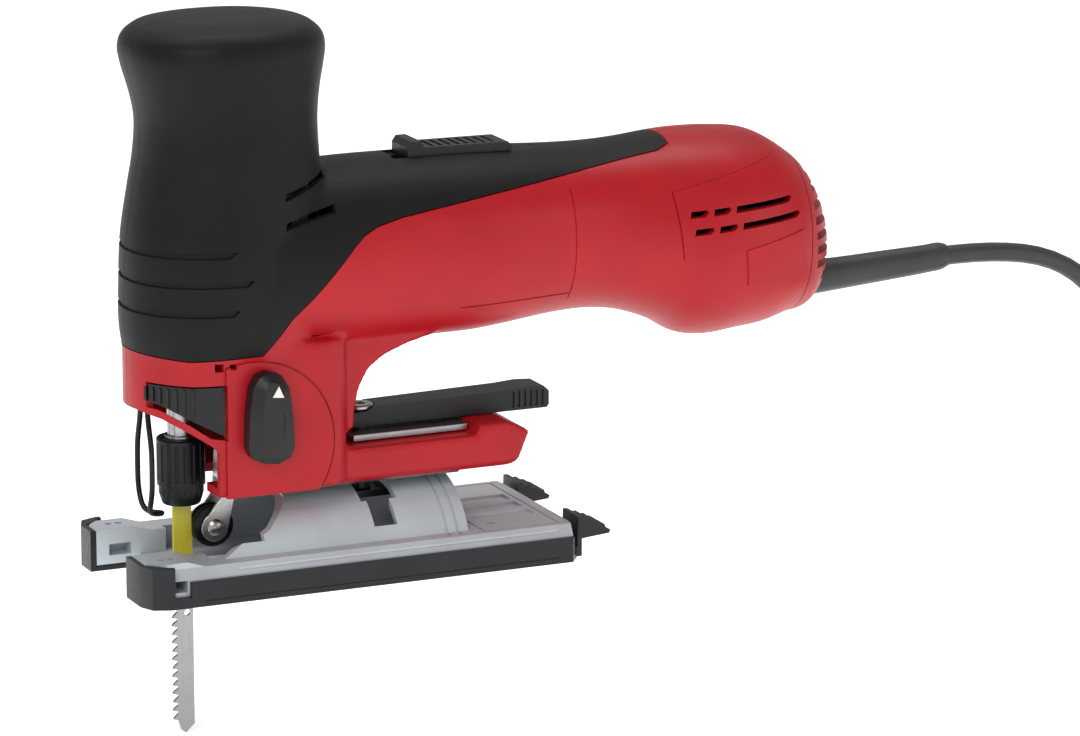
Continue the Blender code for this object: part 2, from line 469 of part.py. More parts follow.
# glide cover: a tray under the plate, with its hooks at the rear
outer_plan = [(SHOE_FRONT + 8, -W2), (SHOE_REAR - 2, -W2), (SHOE_REAR + 1.6, -W2 + 5), (SHOE_REAR + 1.6, W2 - 5), (SHOE_REAR - 2, W2), (SHOE_FRONT + 8, W2), (SHOE_FRONT + 2.3, W2 - 2.3), (SHOE_FRONT, W2 - 8), (SHOE_FRONT, -W2 + 8), (SHOE_FRONT + 2.3, -W2 + 2.3)]
cover = prism("glide_cover", outer_plan, "Z", 0, 14.3)
inner_plan = [(SHOE_FRONT + 8.4, -W2 + 2.0), (SHOE_REAR + 0.4, -W2 + 2.0), (SHOE_REAR + 0.4, W2 - 2.0), (SHOE_FRONT + 8.4, W2 - 2.0), (SHOE_FRONT + 1.9, W2 - 8.0), (SHOE_FRONT + 1.9, -W2 + 8.0)]
cut(cover, prism("b", inner_plan, "Z", 1.7, 40))
cut(cover, box("b", SHOE_FRONT + 9.6, -88.5, -60, 60, 3.6, 60), box("b", -88.6, 80, -60, 60, 8.6, 60), box("b", SHOE_REAR, 80, -60, 60, 4.0, 60))
cut(cover, box("b", -120, -86, NEAR_IN + 0.2, FAR_IN - 0.2, -5, 40), box("slot", -90, -60, -5.4, 5.4, -5, 10))
# hooks over the plate's rear edge
for s in (-1, 1):
    y = (W2 - 11.6) * s
    hook = prism("hook", [(SHOE_REAR + 0.3, 0.3), (SHOE_REAR + 3.6, 0.3), (SHOE_REAR + 3.6, 6.5), (SHOE_REAR + 14, 7.4), (SHOE_REAR + 14.4, 8.6), (SHOE_REAR + 10.4, 10.8), (SHOE_REAR + 7, 12.2), (SHOE_REAR + 2.2, 14.4), (SHOE_REAR + 1.9, 4.0), (SHOE_REAR + 0.3, 2.0)], "Y", y - 6.5, y + 6.5)
    join(cover, hook)
named(cover, "glide_cover")

# ---------------------------------------------------------------- screws, from the far side
for i, (x, z) in enumerate(SCREWS, 1):
    if z < 60:
        y_out = HEAD_Y + 0.2
    else:
        # the outer surface at this place, from the barrel's own sections
        for (xa, ca, ya, za), (xb, cb, yb, zb) in zip(BARREL, BARREL[1:]):
            if xa <= x <= xb:
                f = (x - xa) / (xb - xa)
                cz, ry, rz = ca + (cb - ca) * f, ya + (yb - ya) * f, za + (zb - za) * f
                y_out = ry * max(0.0, 1 - abs((z - cz) / rz) ** 2.15) ** (1 / 2.15)
    near = bpy.data.objects["right_housing"]
    cut(near, rod("b", "Y", x, z, [(y_out - 1.6, 3.4), (y_out + 12, 3.4)], 12), rod("b", "Y", x, z, [(0, 1.8), (y_out + 5, 1.8)], 10))
    s = rod(f"housing_screw_{i}", "Y", x, z, [(y_out - 12, 1.4), (y_out - 1.2, 1.4)], 8)
    join(s, rod("h", "Y", x, z, [(y_out - 1.3, 3.0), (y_out + 0.5, 3.0), (y_out + 0.9, 2.2)], 12))
    cut(s, box("s", x - 5, x + 5, y_out + 0.2, y_out + 3, z - 0.5, z + 0.5))
    named(s, f"housing_screw_{i}")

# ---------------------------------------------------------------- cord
relief = loft("strain_relief", [[(x, y, z) for y, z in circle(0, cz, rr, 16)] for x, rr, cz in
                                ((158.5, 5.8, 82.6), (170, 5.8, 83.2), (190, 5.3, 84.3), (212, 4.9, 85.7), (214.2, 4.3, 85.8))])

# out of the strain relief, and down under its own weight to the coil; scene.py repeats these points
ROUTE = [(214.6, 0, 85.9), (227, 0, 85.8), (240, 0, 84.8), (252.4, 0, 82.6), (264, 0, 77.8), (273.9, 0, 70.3), (281.6, 0, 60.5), (286.4, 0, 49.0),
         (288, 0, 36.8), (288, 0, 24.6), (288, 0, 12.6), (289.4, 0, 1.7), (293.6, 0, -8.4), (300.3, 0, -17.1), (304, 0, -20.3)]
wire("cord", ROUTE, CORD_D, 12)


def racetrack(radius, z):
    """Two half circles and the straights between them, round the middle of the hank."""
    ends = ((HANK_X + HANK_HALF, -90), (HANK_X - HANK_HALF, 90))
    return [(cx + radius * math.cos(math.radians(a + 15 * k)), HANK_Y + radius * math.sin(math.radians(a + 15 * k)), z) for cx, a in ends for k in range(13)]


coil = loft("cord_coil", [racetrack(r, z) for z, r in ((HANK_LOW, HANK_OUT - 2), (HANK_LOW + 2, HANK_OUT), (HANK_HIGH - 2, HANK_OUT), (HANK_HIGH, HANK_OUT - 2))])
cut(coil, loft("b", [racetrack(HANK_IN, HANK_LOW - 5), racetrack(HANK_IN, HANK_HIGH + 5)]))
# the tie goes round the bundle on the side away from the plug
tie = box("cord_tie", HANK_X - 5, HANK_X + 5, HANK_Y - HANK_OUT - 1.3, HANK_Y - HANK_IN + 1.8, FLOOR, HANK_HIGH + 1.2)
cut(tie, box("b", HANK_X - 8, HANK_X + 8, HANK_Y - HANK_OUT - 0.4, HANK_Y - HANK_IN + 0.7, HANK_LOW - 0.3, HANK_HIGH + 0.3))

# two-blade plug, lying beside the hank with its blades away from the tool
PLUG_X, PLUG_Y, PLUG_Z = HANK_X + 61.0, HANK_Y + HANK_OUT + 14.6, FLOOR + 9.6
body = loft("plug_body", [[(PLUG_X - x, y, z) for y, z in superellipse(PLUG_Y, PLUG_Z, ry, rz, 4, 24)] for x, ry, rz in
                          ((0, 12.2, 8.4), (1.2, 13.0, 9.2), (16, 13.0, 9.2), (26, 10.0, 8.2), (34, 8.6, 7.4))])
join(body, loft("taper", [[(PLUG_X - x, y, z) for y, z in circle(PLUG_Y, cz, r, 16)] for x, r, cz in ((32, 6.0, PLUG_Z), (36, 5.6, PLUG_Z - 0.2), (54, 4.2, PLUG_Z - 2.6))]))
for side, name in ((-1, "left"), (1, "right")):
    y = PLUG_Y + side * 6.35
    cut(body, box("socket", PLUG_X - 8.3, PLUG_X + 2, y - 1.05, y + 1.05, PLUG_Z - 3.5, PLUG_Z + 3.5))
    box(f"plug_{name}_blade", PLUG_X - 8.0, PLUG_X + 15.5, y - 0.75, y + 0.75, PLUG_Z - 3.15, PLUG_Z + 3.15)
named(body, "plug_body")
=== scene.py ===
# %% [markdown]
# # Body-grip jigsaw
# This notebook dresses a finished mechanical model of a corded body-grip jigsaw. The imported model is
# loaded as a fixed frame: every piece made here takes its place from it and rides on one of its bodies,
# so a joint that moves the frame moves the looks as well.

# %% Load the frame
import json
import math

import bmesh
import bpy
import numpy as np
from mathutils import Matrix, Vector


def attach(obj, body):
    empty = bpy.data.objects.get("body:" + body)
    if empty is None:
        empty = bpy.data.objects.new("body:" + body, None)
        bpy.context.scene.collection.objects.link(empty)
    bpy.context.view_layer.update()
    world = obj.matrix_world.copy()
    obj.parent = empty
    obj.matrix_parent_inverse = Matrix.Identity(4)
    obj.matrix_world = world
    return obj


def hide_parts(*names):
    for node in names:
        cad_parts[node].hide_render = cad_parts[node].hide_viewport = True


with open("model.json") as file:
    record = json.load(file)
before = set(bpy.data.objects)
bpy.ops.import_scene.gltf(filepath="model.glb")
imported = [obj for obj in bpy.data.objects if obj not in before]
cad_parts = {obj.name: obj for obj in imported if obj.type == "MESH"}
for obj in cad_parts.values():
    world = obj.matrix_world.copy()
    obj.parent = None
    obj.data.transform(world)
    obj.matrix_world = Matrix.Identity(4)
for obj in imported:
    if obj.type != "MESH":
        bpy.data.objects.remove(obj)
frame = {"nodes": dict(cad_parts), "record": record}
nodes = frame["nodes"]
slot_of = {row["node"]: row["material_slot"] for row in frame["record"]["subparts"]}
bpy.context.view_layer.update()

# %% [markdown]
# ## Working in millimetres
# A hand tool is drawn in millimetres, but Blender renders it in metres. The helpers below build each
# shape in millimetres with bmesh operators and scale it once, at the end, so that the object itself
# stays at the origin, unturned and unscaled.

# %% Placing and finishing helpers
MM = 0.001
MERGE = 1e-4  # points nearer than this, in millimetres, become one


def place(axis, u, v, w):
    """u and v across an axis, w along it, as x, y, z."""
    return Vector({"X": (w, u, v), "Y": (u, w, v), "Z": (u, v, w)}[axis])


def new_object(name, data):
    """An object in the scene that holds a mesh, a curve, a camera or a lamp."""
    obj = bpy.data.objects.new(name, data)
    bpy.context.scene.collection.objects.link(obj)
    return obj


def finish(bm, name, material, body, stands_for=(), sharp=32, bevel=0.0, segments=2):
    """Turns a bmesh in millimetres into a smooth-shaded piece in metres that rides on a body."""
    bmesh.ops.remove_doubles(bm, verts=bm.verts, dist=MERGE)
    bmesh.ops.recalc_face_normals(bm, faces=bm.faces)
    bmesh.ops.scale(bm, vec=(MM, MM, MM), verts=bm.verts)
    mesh = bpy.data.meshes.new(name)
    bm.to_mesh(mesh)
    bm.free()
    return dress(new_object(name, mesh), material, body, stands_for, sharp, bevel, segments)


def dress(obj, material, body, stands_for=(), sharp=32, bevel=0.0, segments=2):
    """Material, smooth shading and a small rounded edge for a piece, and the body that carries it."""
    mesh = obj.data
    mesh.materials.clear()
    mesh.materials.append(material)
    mesh.polygons.foreach_set("use_smooth", [True] * len(mesh.polygons))
    mesh.set_sharp_from_angle(angle=math.radians(sharp))
    if bevel:
        edge = obj.modifiers.new("rounded edges", "BEVEL")
        edge.width = bevel * MM
        edge.segments = segments
        edge.limit_method = "ANGLE"
        edge.angle_limit = math.radians(sharp)
        edge.harden_normals = True
        edge.use_clamp_overlap = True
    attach(obj, body)
    if stands_for:
        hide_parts(*stands_for)
    return obj


# %% [markdown]
# ## Four ways to start a shape
# Nearly every part of the tool is one of these: a flat outline pushed through a thickness, a profile
# turned round an axis, a stack of oval sections bridged into a skin, or a wire bent along a path.

# %% Outline, turned, bridged and bent shapes
def outline(points, axis, low, high):
    """A flat outline of (u, v) points, extruded along the axis from low to high."""
    bm = bmesh.new()
    corners = [bm.verts.new(place(axis, u, v, low)) for u, v in points]
    face = bm.faces.new(corners)
    pushed = bmesh.ops.extrude_face_region(bm, geom=[face])["geom"]
    moved = [item for item in pushed if isinstance(item, bmesh.types.BMVert)]
    bmesh.ops.translate(bm, verts=moved, vec=place(axis, 0, 0, high - low))
    bmesh.ops.recalc_face_normals(bm, faces=bm.faces)
    return bm


def block(x0, x1, y0, y1, z0, z1):
    return outline([(x0, y0), (x1, y0), (x1, y1), (x0, y1)], "Z", z0, z1)


def turned(profile, axis, u, v, steps, closed=False):
    """A profile of (along, radius) turned round an axis through (u, v)."""
    bm = bmesh.new()
    line = [bm.verts.new(place(axis, radius, 0, along)) for along, radius in profile]
    pairs = list(zip(line, line[1:])) + ([(line[-1], line[0])] if closed else [])
    edges = [bm.edges.new(pair) for pair in pairs]
    bmesh.ops.spin(bm, geom=line + edges, cent=(0, 0, 0), axis=place(axis, 0, 0, 1),
                   angle=2 * math.pi, steps=steps, use_merge=True)
    bmesh.ops.remove_doubles(bm, verts=bm.verts, dist=MERGE)
    if not closed:
        bmesh.ops.holes_fill(bm, edges=[e for e in bm.edges if e.is_boundary], sides=0)
    bmesh.ops.translate(bm, verts=bm.verts, vec=place(axis, u, v, 0))
    bmesh.ops.recalc_face_normals(bm, faces=bm.faces)
    return bm


def rod(low, high, radius, axis, u, v, steps):
    """A plain cylinder from low to high."""
    return turned([(low, radius), (high, radius)], axis, u, v, steps)


def oval(bm, axis, along, cu, cv, ru, rv, power, segments):
    """One ring of the skin: a circle pulled out towards a rounded rectangle."""
    ring = bmesh.ops.create_circle(bm, cap_ends=False, segments=segments, radius=1.0)["verts"]
    for vert in ring:
        angle = math.atan2(vert.co.y, vert.co.x)
        c, s = math.cos(angle), math.sin(angle)
        u = cu + ru * math.copysign(abs(c) ** (2 / power), c)
        v = cv + rv * math.copysign(abs(s) ** (2 / power), s)
        vert.co = place(axis, u, v, along)
    return list({edge for vert in ring for edge in vert.link_edges})


def smoothed(sections, count):
    """More sections between the given ones, on a curve that doesn't overshoot."""
    rows = np.array(sections, float)
    length = rows[:, 0]
    steps = np.linspace(length[0], length[-1], count)
    steps = np.unique(np.concatenate([steps, length]))
    slopes = np.gradient(rows, length, axis=0)
    found = []
    for at in steps:
        k = min(np.searchsorted(length, at, side="right") - 1, len(length) - 2)
        span = length[k + 1] - length[k]
        t = (at - length[k]) / span
        found.append((2 * t**3 - 3 * t**2 + 1) * rows[k] + (t**3 - 2 * t**2 + t) * span * slopes[k]
                     + (3 * t**2 - 2 * t**3) * rows[k + 1] + (t**3 - t**2) * span * slopes[k + 1])
    return found


def bridged(sections, axis, power, segments=96):
    """A closed skin over a stack of oval sections: (along, cu, cv, ru, rv)."""
    bm = bmesh.new()
    loops = [oval(bm, axis, *section, power, segments) for section in sections]
    for first, second in zip(loops, loops[1:]):
        bmesh.ops.bridge_loops(bm, edges=first + second)
    bmesh.ops.holes_fill(bm, edges=[e for e in bm.edges if e.is_boundary], sides=0)
    bmesh.ops.recalc_face_normals(bm, faces=bm.faces)
    return bm


def wire(name, points, diameter, ring, resolution):
    """A curve with a round section along a smooth path. ring and resolution set how finely it is drawn."""
    curve = bpy.data.curves.new(name, "CURVE")
    curve.dimensions = "3D"
    curve.bevel_depth = diameter / 2 * MM
    curve.bevel_resolution = ring
    curve.use_fill_caps = True
    curve.resolution_u = resolution
    spline = curve.splines.new("NURBS")
    spline.points.add(len(points) - 1)
    for point, (x, y, z) in zip(spline.points, points):
        point.co = (x * MM, y * MM, z * MM, 1)
    spline.use_endpoint_u = True
    spline.order_u = 4
    return new_object(name, curve)


def evaluated(obj):
    """The object's mesh as its modifiers and its curve settings leave it."""
    bpy.context.view_layer.update()
    return bpy.data.meshes.new_from_object(obj.evaluated_get(bpy.context.evaluated_depsgraph_get()))


def bent(name, points, diameter, material, body, stands_for=()):
    """A round wire along a smooth path, made a mesh."""
    path = wire(name + " path", points, diameter, 4, 6)
    mesh = evaluated(path)
    bpy.data.objects.remove(path, do_unlink=True)
    return dress(new_object(name, mesh), material, body, stands_for, sharp=60)


def arc(cu, cv, radius, start, stop, steps):
    """Points on an arc, in degrees, for an outline."""
    turns = np.radians(np.linspace(start, stop, steps))
    return [(cu + radius * math.cos(t), cv + radius * math.sin(t)) for t in turns]


# %% [markdown]
# ## Cutting one shape with another
# Mouldings and castings are full of windows and pockets. An exact Boolean gives them crisp walls, and it
# is applied at once so that no cutter is left in the scene. The shapes are still in millimetres here.

# %% Boolean helpers
def solid(bm, name="solid"):
    mesh = bpy.data.meshes.new(name)
    bmesh.ops.recalc_face_normals(bm, faces=bm.faces)
    bm.to_mesh(mesh)
    bm.free()
    return new_object(name, mesh)


def applied(obj):
    mesh = evaluated(obj)
    obj.modifiers.clear()
    obj.data = mesh
    return obj


def boolean(obj, tool, operation):
    """Applies one tool to the object and uses it up. The tool is a bmesh, or an object made from one."""
    if not isinstance(tool, bpy.types.Object):
        tool = solid(tool)
    step = obj.modifiers.new(operation, "BOOLEAN")
    step.operation = operation
    step.solver = "EXACT"
    step.object = tool
    applied(obj)
    bpy.data.objects.remove(tool, do_unlink=True)
    return obj


def cut(obj, *tools):
    for tool in tools:
        boolean(obj, tool, "DIFFERENCE")
    return obj


def join(obj, *tools):
    for tool in tools:
        boolean(obj, tool, "UNION")
    return obj


def keep(obj, tool):
    return boolean(obj, tool, "INTERSECT")


def twin(obj, name):
    return new_object(name, obj.data.copy())


def finish_solid(obj, name, material, body, stands_for=(), sharp=32, bevel=0.0, segments=2):
    """The same finish for a shape that was cut."""
    bm = bmesh.new()
    bm.from_mesh(obj.data)
    bpy.data.objects.remove(obj, do_unlink=True)
    return finish(bm, name, material, body, stands_for, sharp, bevel, segments)


# %% [markdown]
# ## Materials
# A finish is more than a colour. Moulded plastic has a fine spark-eroded grain and shallow flow marks, a
# soft grip scatters light at its edges, cast aluminium is blasted, and ground steel has lines one way.
# One function adds a node with its settings and links, and one more strings the usual layers together:
# slow blotches of shade, a fine bump, and a roughness that wanders a little.

# %% Node and colour helpers
def linear(hex_colour):
    """An sRGB hex colour as the linear values that the shader works in."""
    channels = [int(hex_colour[i:i + 2], 16) / 255 for i in (1, 3, 5)]
    return (*[c / 12.92 if c <= 0.04045 else ((c + 0.055) / 1.055) ** 2.4 for c in channels], 1.0)


def add(tree, kind, inputs=None, **settings):
    """Adds a node with its settings, and sets or links its inputs."""
    node = tree.nodes.new(kind)
    for key, value in settings.items():
        setattr(node, key, value)
    for key, value in (inputs or {}).items():
        if isinstance(value, bpy.types.NodeSocket):
            tree.links.new(value, node.inputs[key])
        else:
            node.inputs[key].default_value = value
    return node


def blend(tree, factor, first, second):
    """A mix of two colours. The colour sockets of a mix node sit at 6 and 7, and its result at 2."""
    return add(tree, "ShaderNodeMix", {0: factor, 6: first, 7: second}, data_type="RGBA").outputs[2]


def material(name, colour, shade, roughness, swing=0.05, metallic=0.0, grain_mm=0.5, grain=0.12,
             depth_mm=0.02, blotch_mm=22.0, stretch=(1, 1, 1), scuff=None, **shader):
    """A finish from real sizes: the grain's spacing and depth, and the width of its slow blotches.
    stretch lengthens the grain along an axis, as grinding does, and scuff is a second colour in specks."""
    made = bpy.data.materials.new(name)
    made.use_nodes = True
    tree = made.node_tree
    tree.nodes.clear()
    where = add(tree, "ShaderNodeTexCoord").outputs["Object"]
    along = add(tree, "ShaderNodeMapping", {"Vector": where, "Scale": stretch}).outputs["Vector"]
    blotch = add(tree, "ShaderNodeTexNoise", {"Vector": where, "Scale": 1 / (blotch_mm * MM), "Detail": 4.0,
                                              "Roughness": 0.55})
    fine = add(tree, "ShaderNodeTexNoise", {"Vector": along, "Scale": 1 / (grain_mm * MM), "Detail": 3.0,
                                            "Roughness": 0.6})
    spread = add(tree, "ShaderNodeMapRange", {"Value": blotch.outputs["Fac"], "From Min": 0.35,
                                              "From Max": 0.65})
    colour_out = blend(tree, spread.outputs["Result"], linear(colour), linear(shade))
    if scuff:
        specks = add(tree, "ShaderNodeMapRange", {"Value": fine.outputs["Fac"], "From Min": 0.62,
                                                  "From Max": 0.74, "To Max": 0.55})
        colour_out = blend(tree, specks.outputs["Result"], colour_out, linear(scuff))
    rough = add(tree, "ShaderNodeMapRange", {"Value": fine.outputs["Fac"], "From Min": 0.3, "From Max": 0.7,
                                             "To Min": roughness - swing, "To Max": roughness + swing})
    bump = add(tree, "ShaderNodeBump", {"Height": fine.outputs["Fac"], "Strength": grain,
                                        "Distance": depth_mm * MM})
    skin = add(tree, "ShaderNodeBsdfPrincipled", {"Base Color": colour_out,
                                                  "Roughness": rough.outputs["Result"],
                                                  "Normal": bump.outputs["Normal"], "Metallic": metallic})
    for key, value in shader.items():
        skin.inputs[key.replace("_", " ")].default_value = value
    add(tree, "ShaderNodeOutputMaterial", {"Surface": skin.outputs["BSDF"]})
    return made


# %% The finishes on this tool
# glass-filled nylon, moulded with a satin spark-eroded grain: broad soft highlights
NYLON_RED = material("glass-filled nylon red", "#AF0F1B", "#A50C17", 0.4, 0.06, grain_mm=0.7, grain=0.18,
                     depth_mm=0.03, IOR=1.5, Specular_IOR_Level=0.32)
# thermoplastic elastomer moulded over the nylon: matt, nearly black, a little sheen at grazing angles
ELASTOMER = material("thermoplastic elastomer black", "#0D0D0D", "#121211", 0.52, 0.07, grain_mm=0.6,
                     grain=0.3,
                     depth_mm=0.04, IOR=1.45, Specular_IOR_Level=0.22, Sheen_Weight=0.03, Sheen_Roughness=0.5)
# unfilled ABS controls with a fine satin grain
ABS_BLACK = material("ABS black satin", "#131416", "#191A1C", 0.42, 0.06, grain_mm=0.5, grain=0.16,
                     depth_mm=0.02,
                     Specular_IOR_Level=0.36)
# acetal cover that slides on the work, scuffed a little along its sole
ACETAL_BLACK = material("acetal black", "#131417", "#1A1B1E", 0.4, 0.07, grain_mm=0.9, grain=0.12,
                        depth_mm=0.02,
                        scuff="#2E2F32", Specular_IOR_Level=0.34)
# die-cast aluminium, bead-blasted: soft pale grey with a sandy tooth
CAST_ALUMINIUM = material("die-cast aluminium blasted", "#C6CED3", "#BCC3C8", 0.46, 0.08, metallic=0.3,
                          grain_mm=0.45,
                          grain=0.35, depth_mm=0.04, scuff="#BFC2C5")
# the gear case is the same metal as it comes from the die
GEAR_CASE = material("die-cast aluminium plain", "#8E9093", "#838588", 0.45, 0.08, metallic=0.9,
                     grain_mm=1.2, grain=0.2, depth_mm=0.04)
# ground steel, with lines along its length
GROUND_STEEL = material("ground steel", "#A7A8AB", "#9B9CA0", 0.3, 0.09, metallic=1.0, grain_mm=0.5,
                        grain=0.25,
                        depth_mm=0.015, stretch=(0.05, 1, 1))
ZINC_STEEL = material("zinc-plated steel", "#B4B4B2", "#A7A8A9", 0.32, 0.08, metallic=1.0, grain_mm=1.0,
                      grain=0.15, depth_mm=0.015)
# black oxide on steel: dark, oily, with worn lighter specks
BLACK_OXIDE = material("black-oxide steel", "#1B1C1E", "#232426", 0.38, 0.08, metallic=0.7, grain_mm=0.6,
                       grain=0.2,
                       depth_mm=0.02, scuff="#45474A")
BRONZE = material("sintered bronze", "#8C6A3E", "#7B5B34", 0.42, 0.08, metallic=1.0, grain_mm=0.5,
                  grain=0.35, depth_mm=0.03)
COPPER = material("enamelled copper wire", "#9A4A26", "#7E3A1E", 0.3, 0.06, metallic=0.9, grain_mm=0.6,
                  grain=0.4,
                  depth_mm=0.08, stretch=(0.1, 1, 1))
LAMINATION = material("silicon steel laminations", "#5B5D60", "#4C4E51", 0.4, 0.08, metallic=0.9,
                      grain_mm=0.5, grain=0.4,
                      depth_mm=0.05, stretch=(1, 0.03, 0.03))
CARBON = material("carbon graphite", "#1D1D1E", "#262627", 0.5, 0.08, metallic=0.2, grain_mm=0.4, grain=0.3,
                  depth_mm=0.03)
ROLLER_STEEL = material("hardened roller steel", "#232426", "#2D2E30", 0.34, 0.08, metallic=0.8,
                        grain_mm=0.4, grain=0.2,
                        depth_mm=0.02, scuff="#56585B")
RUBBER = material("neoprene rubber black", "#2B2B2C", "#313132", 0.46, 0.05, grain_mm=0.8, grain=0.15,
                  depth_mm=0.03,
                  Sheen_Weight=0.15, Sheen_Roughness=0.4)
NICKEL = material("nickel-plated brass", "#C3BFB4", "#B5B1A6", 0.2, 0.05, metallic=1.0, grain_mm=1.0,
                  grain=0.08, depth_mm=0.01)
WEBBING = material("woven nylon tape", "#2A2A2D", "#1F1F22", 0.75, 0.06, grain_mm=0.7, grain=0.8,
                   depth_mm=0.2)
PAINT_WHITE = material("pad-printed white ink", "#E6E6E2", "#DCDCD8", 0.5, 0.05, grain_mm=0.5, grain=0.05,
                       depth_mm=0.01)
print(len(bpy.data.materials), "finishes")

# %% [markdown]
# ## Camera, light and floor
# A tool on show is lit by large soft boxes: one high on the left for the long highlights, a
# weaker one on the right, and a pale room all round. The tool is shown held up on the tip of its blade, so
# the ground lies at the blade tip, and the cord lies on it. The camera has a long lens, so that upright
# lines stay nearly parallel.

# %% Camera
FLOOR = -55.0  # the height of the blade's tip, with the sole of the shoe at 0
camera_data = bpy.data.cameras.new("camera")
camera_data.sensor_width = 36.0
camera_data.lens = 192.67
camera_data.clip_end = 20.0
camera = new_object("camera", camera_data)
camera.location = (-0.7476, -1.7789, 0.5323)
camera.rotation_euler = (math.radians(76.4), 0.0, math.radians(-24.3))
bpy.context.scene.camera = camera

# %% Room and lamps
world = bpy.data.worlds.new("pale room")
world.use_nodes = True
world.node_tree.nodes["Background"].inputs["Color"].default_value = (1.0, 1.0, 1.0, 1.0)
world.node_tree.nodes["Background"].inputs["Strength"].default_value = 0.42
bpy.context.scene.world = world
bpy.context.scene.view_settings.view_transform = "Standard"


def soft_box(name, at, aim, size, power):
    lamp = bpy.data.lights.new(name, "AREA")
    lamp.shape = "RECTANGLE"
    lamp.size, lamp.size_y = size
    lamp.energy = power
    obj = new_object(name, lamp)
    obj.location = at
    obj.rotation_euler = (Vector(aim) - Vector(at)).to_track_quat("-Z", "Y").to_euler()


soft_box("key box", (-0.9, -1.0, 1.0), (0.02, 0, 0.08), (0.8, 0.6), 9)
soft_box("fill box", (1.0, -1.2, 0.5), (0.05, 0, 0.08), (0.8, 0.8), 3)
soft_box("top box", (0.1, 0.35, 1.3), (0.03, 0, 0.1), (1.2, 0.5), 7)

floor_mesh = bpy.data.meshes.new("floor")
sheet = bmesh.new()
bmesh.ops.create_grid(sheet, x_segments=1, y_segments=1, size=6.0)
bmesh.ops.translate(sheet, verts=sheet.verts, vec=(0, 0, (FLOOR - 0.4) * MM))
sheet.to_mesh(floor_mesh)
sheet.free()
floor = new_object("floor", floor_mesh)
# the sheet is a light table, so that the ground stays white and lights the tool softly from below
table_top = material("opal acrylic light table", "#FFFFFF", "#FDFDFD", 0.9, 0.02, grain_mm=5, grain=0.02,
                     depth_mm=0.05,
                     Emission_Color=(1.0, 1.0, 1.0, 1.0), Emission_Strength=0.62)
floor_mesh.materials.append(table_top)

# %% [markdown]
# ## Cord
# The tool has 4 m of 7 mm rubber cord. It leaves a tapered strain relief, runs level for a moment, drops
# under its own weight, and is wound into a hank held by a strap, in line with the tool. The route down is
# a short list of points. The turns are worked out by a loop: each layer spirals in or out by a little
# more than one diameter a turn, and the cord drops one diameter where it passes to the next layer.

# %% Cord route and hank
CORD = 7.0
ROUTE = [(205, 0, 85.2), (214.6, 0, 85.9), (227, 0, 85.8), (240, 0, 84.8), (252.4, 0, 82.6), (264, 0, 77.8),
         (273.9, 0, 70.3),
         (281.6, 0, 60.5), (286.4, 0, 49.0), (288, 0, 36.8), (288, 0, 24.6), (288, 0, 12.6), (289.4, 0, 1.7),
         (293.6, 0, -8.4), (300.3, 0, -17.1), (309, 0, -23.8), (319.1, 0, -28.2), (328, 0, -29.3)]
HANK, STRAIGHT = Vector((351.0, -33.5)), 72.0
# height of the top layer, layers, turns in each, half the width of the outer turn, step between turns
TOP, LAYERS, TURNS, OUTER, PITCH = -29.4, 4, 3.15, 33.5, 7.12
START, PASSING = 0.06, 0.12  # in turns: where the cord lands, and how long it takes to pass a layer down


def on_track(phase, radius, height):
    """The point this many turns on, along two straights joined by half circles, clockwise from above."""
    bend = math.pi * radius
    at = (phase % 1.0) * 2 * (STRAIGHT + bend)
    side = 1 if at < STRAIGHT + bend else -1
    at -= 0 if side > 0 else STRAIGHT + bend
    if at < STRAIGHT:
        x, y = at - STRAIGHT / 2, radius
    else:
        turn = math.pi / 2 - (at - STRAIGHT) / radius
        x, y = STRAIGHT / 2 + radius * math.cos(turn), radius * math.sin(turn)
    return (HANK.x + side * x, HANK.y + side * y, height)


def hank_points():
    """From the top layer's outer turn down to the bottom layer's outer turn."""
    points, phase, height = [], START, TOP
    for layer in range(LAYERS):
        ends = (OUTER, OUTER - PITCH * TURNS)
        start, stop = ends if layer % 2 == 0 else ends[::-1]
        steps = int(TURNS * 30)
        for k in range(steps + 1):
            points.append(on_track(phase + TURNS * k / steps, start + (stop - start) * k / steps, height))
        phase += TURNS
        if layer < LAYERS - 1:
            for k in (1, 2, 3):
                points.append(on_track(phase + PASSING * k / 4, stop, height - CORD * k / 4))
            phase += PASSING
            height -= CORD
    return points


turns = hank_points()
print("the hank ends at", [round(at, 1) for at in turns[-1]])

# %% Cord, strain relief, tie and plug
PLUG = Vector((HANK.x + 61.0, HANK.y + 51.7, FLOOR + 9.6))
TAIL = [(327, 0.5, -50.4), (334, 3.6, -50.0), (340, 8.6, -49.3), (346, 13.8, -48.6), (352, 17.0, -48.2),
        (358, 18.1, -48.0), (363, 18.2, -47.6)]

cord = wire("cord_wound", ROUTE + turns + TAIL, CORD, 3, 2)
cord.data.materials.append(RUBBER)
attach(cord, "housing")
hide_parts("cord", "cord_coil")

near, far = HANK.y - OUTER - 4.8, HANK.y - OUTER + PITCH * TURNS + 5.2
strap = outline([(near, FLOOR + 0.2), (far, FLOOR + 0.2), (far, FLOOR + 30.0), (near, FLOOR + 30.0)], "X",
                HANK.x - 5, HANK.x + 5)
tie = cut(solid(strap), outline([(near + 1.0, FLOOR + 1.0), (far - 1.0, FLOOR + 1.0),
                                 (far - 1.0, FLOOR + 29.2), (near + 1.0, FLOOR + 29.2)],
                                "X", HANK.x - 8, HANK.x + 8))
join(tie, block(HANK.x - 4.6, HANK.x + 4.6, near + 6, near + 22, FLOOR + 29.5, FLOOR + 30.9))
tie = finish_solid(tie, "hook_and_loop_tie", WEBBING, "housing", ("cord_tie",), bevel=0.35)

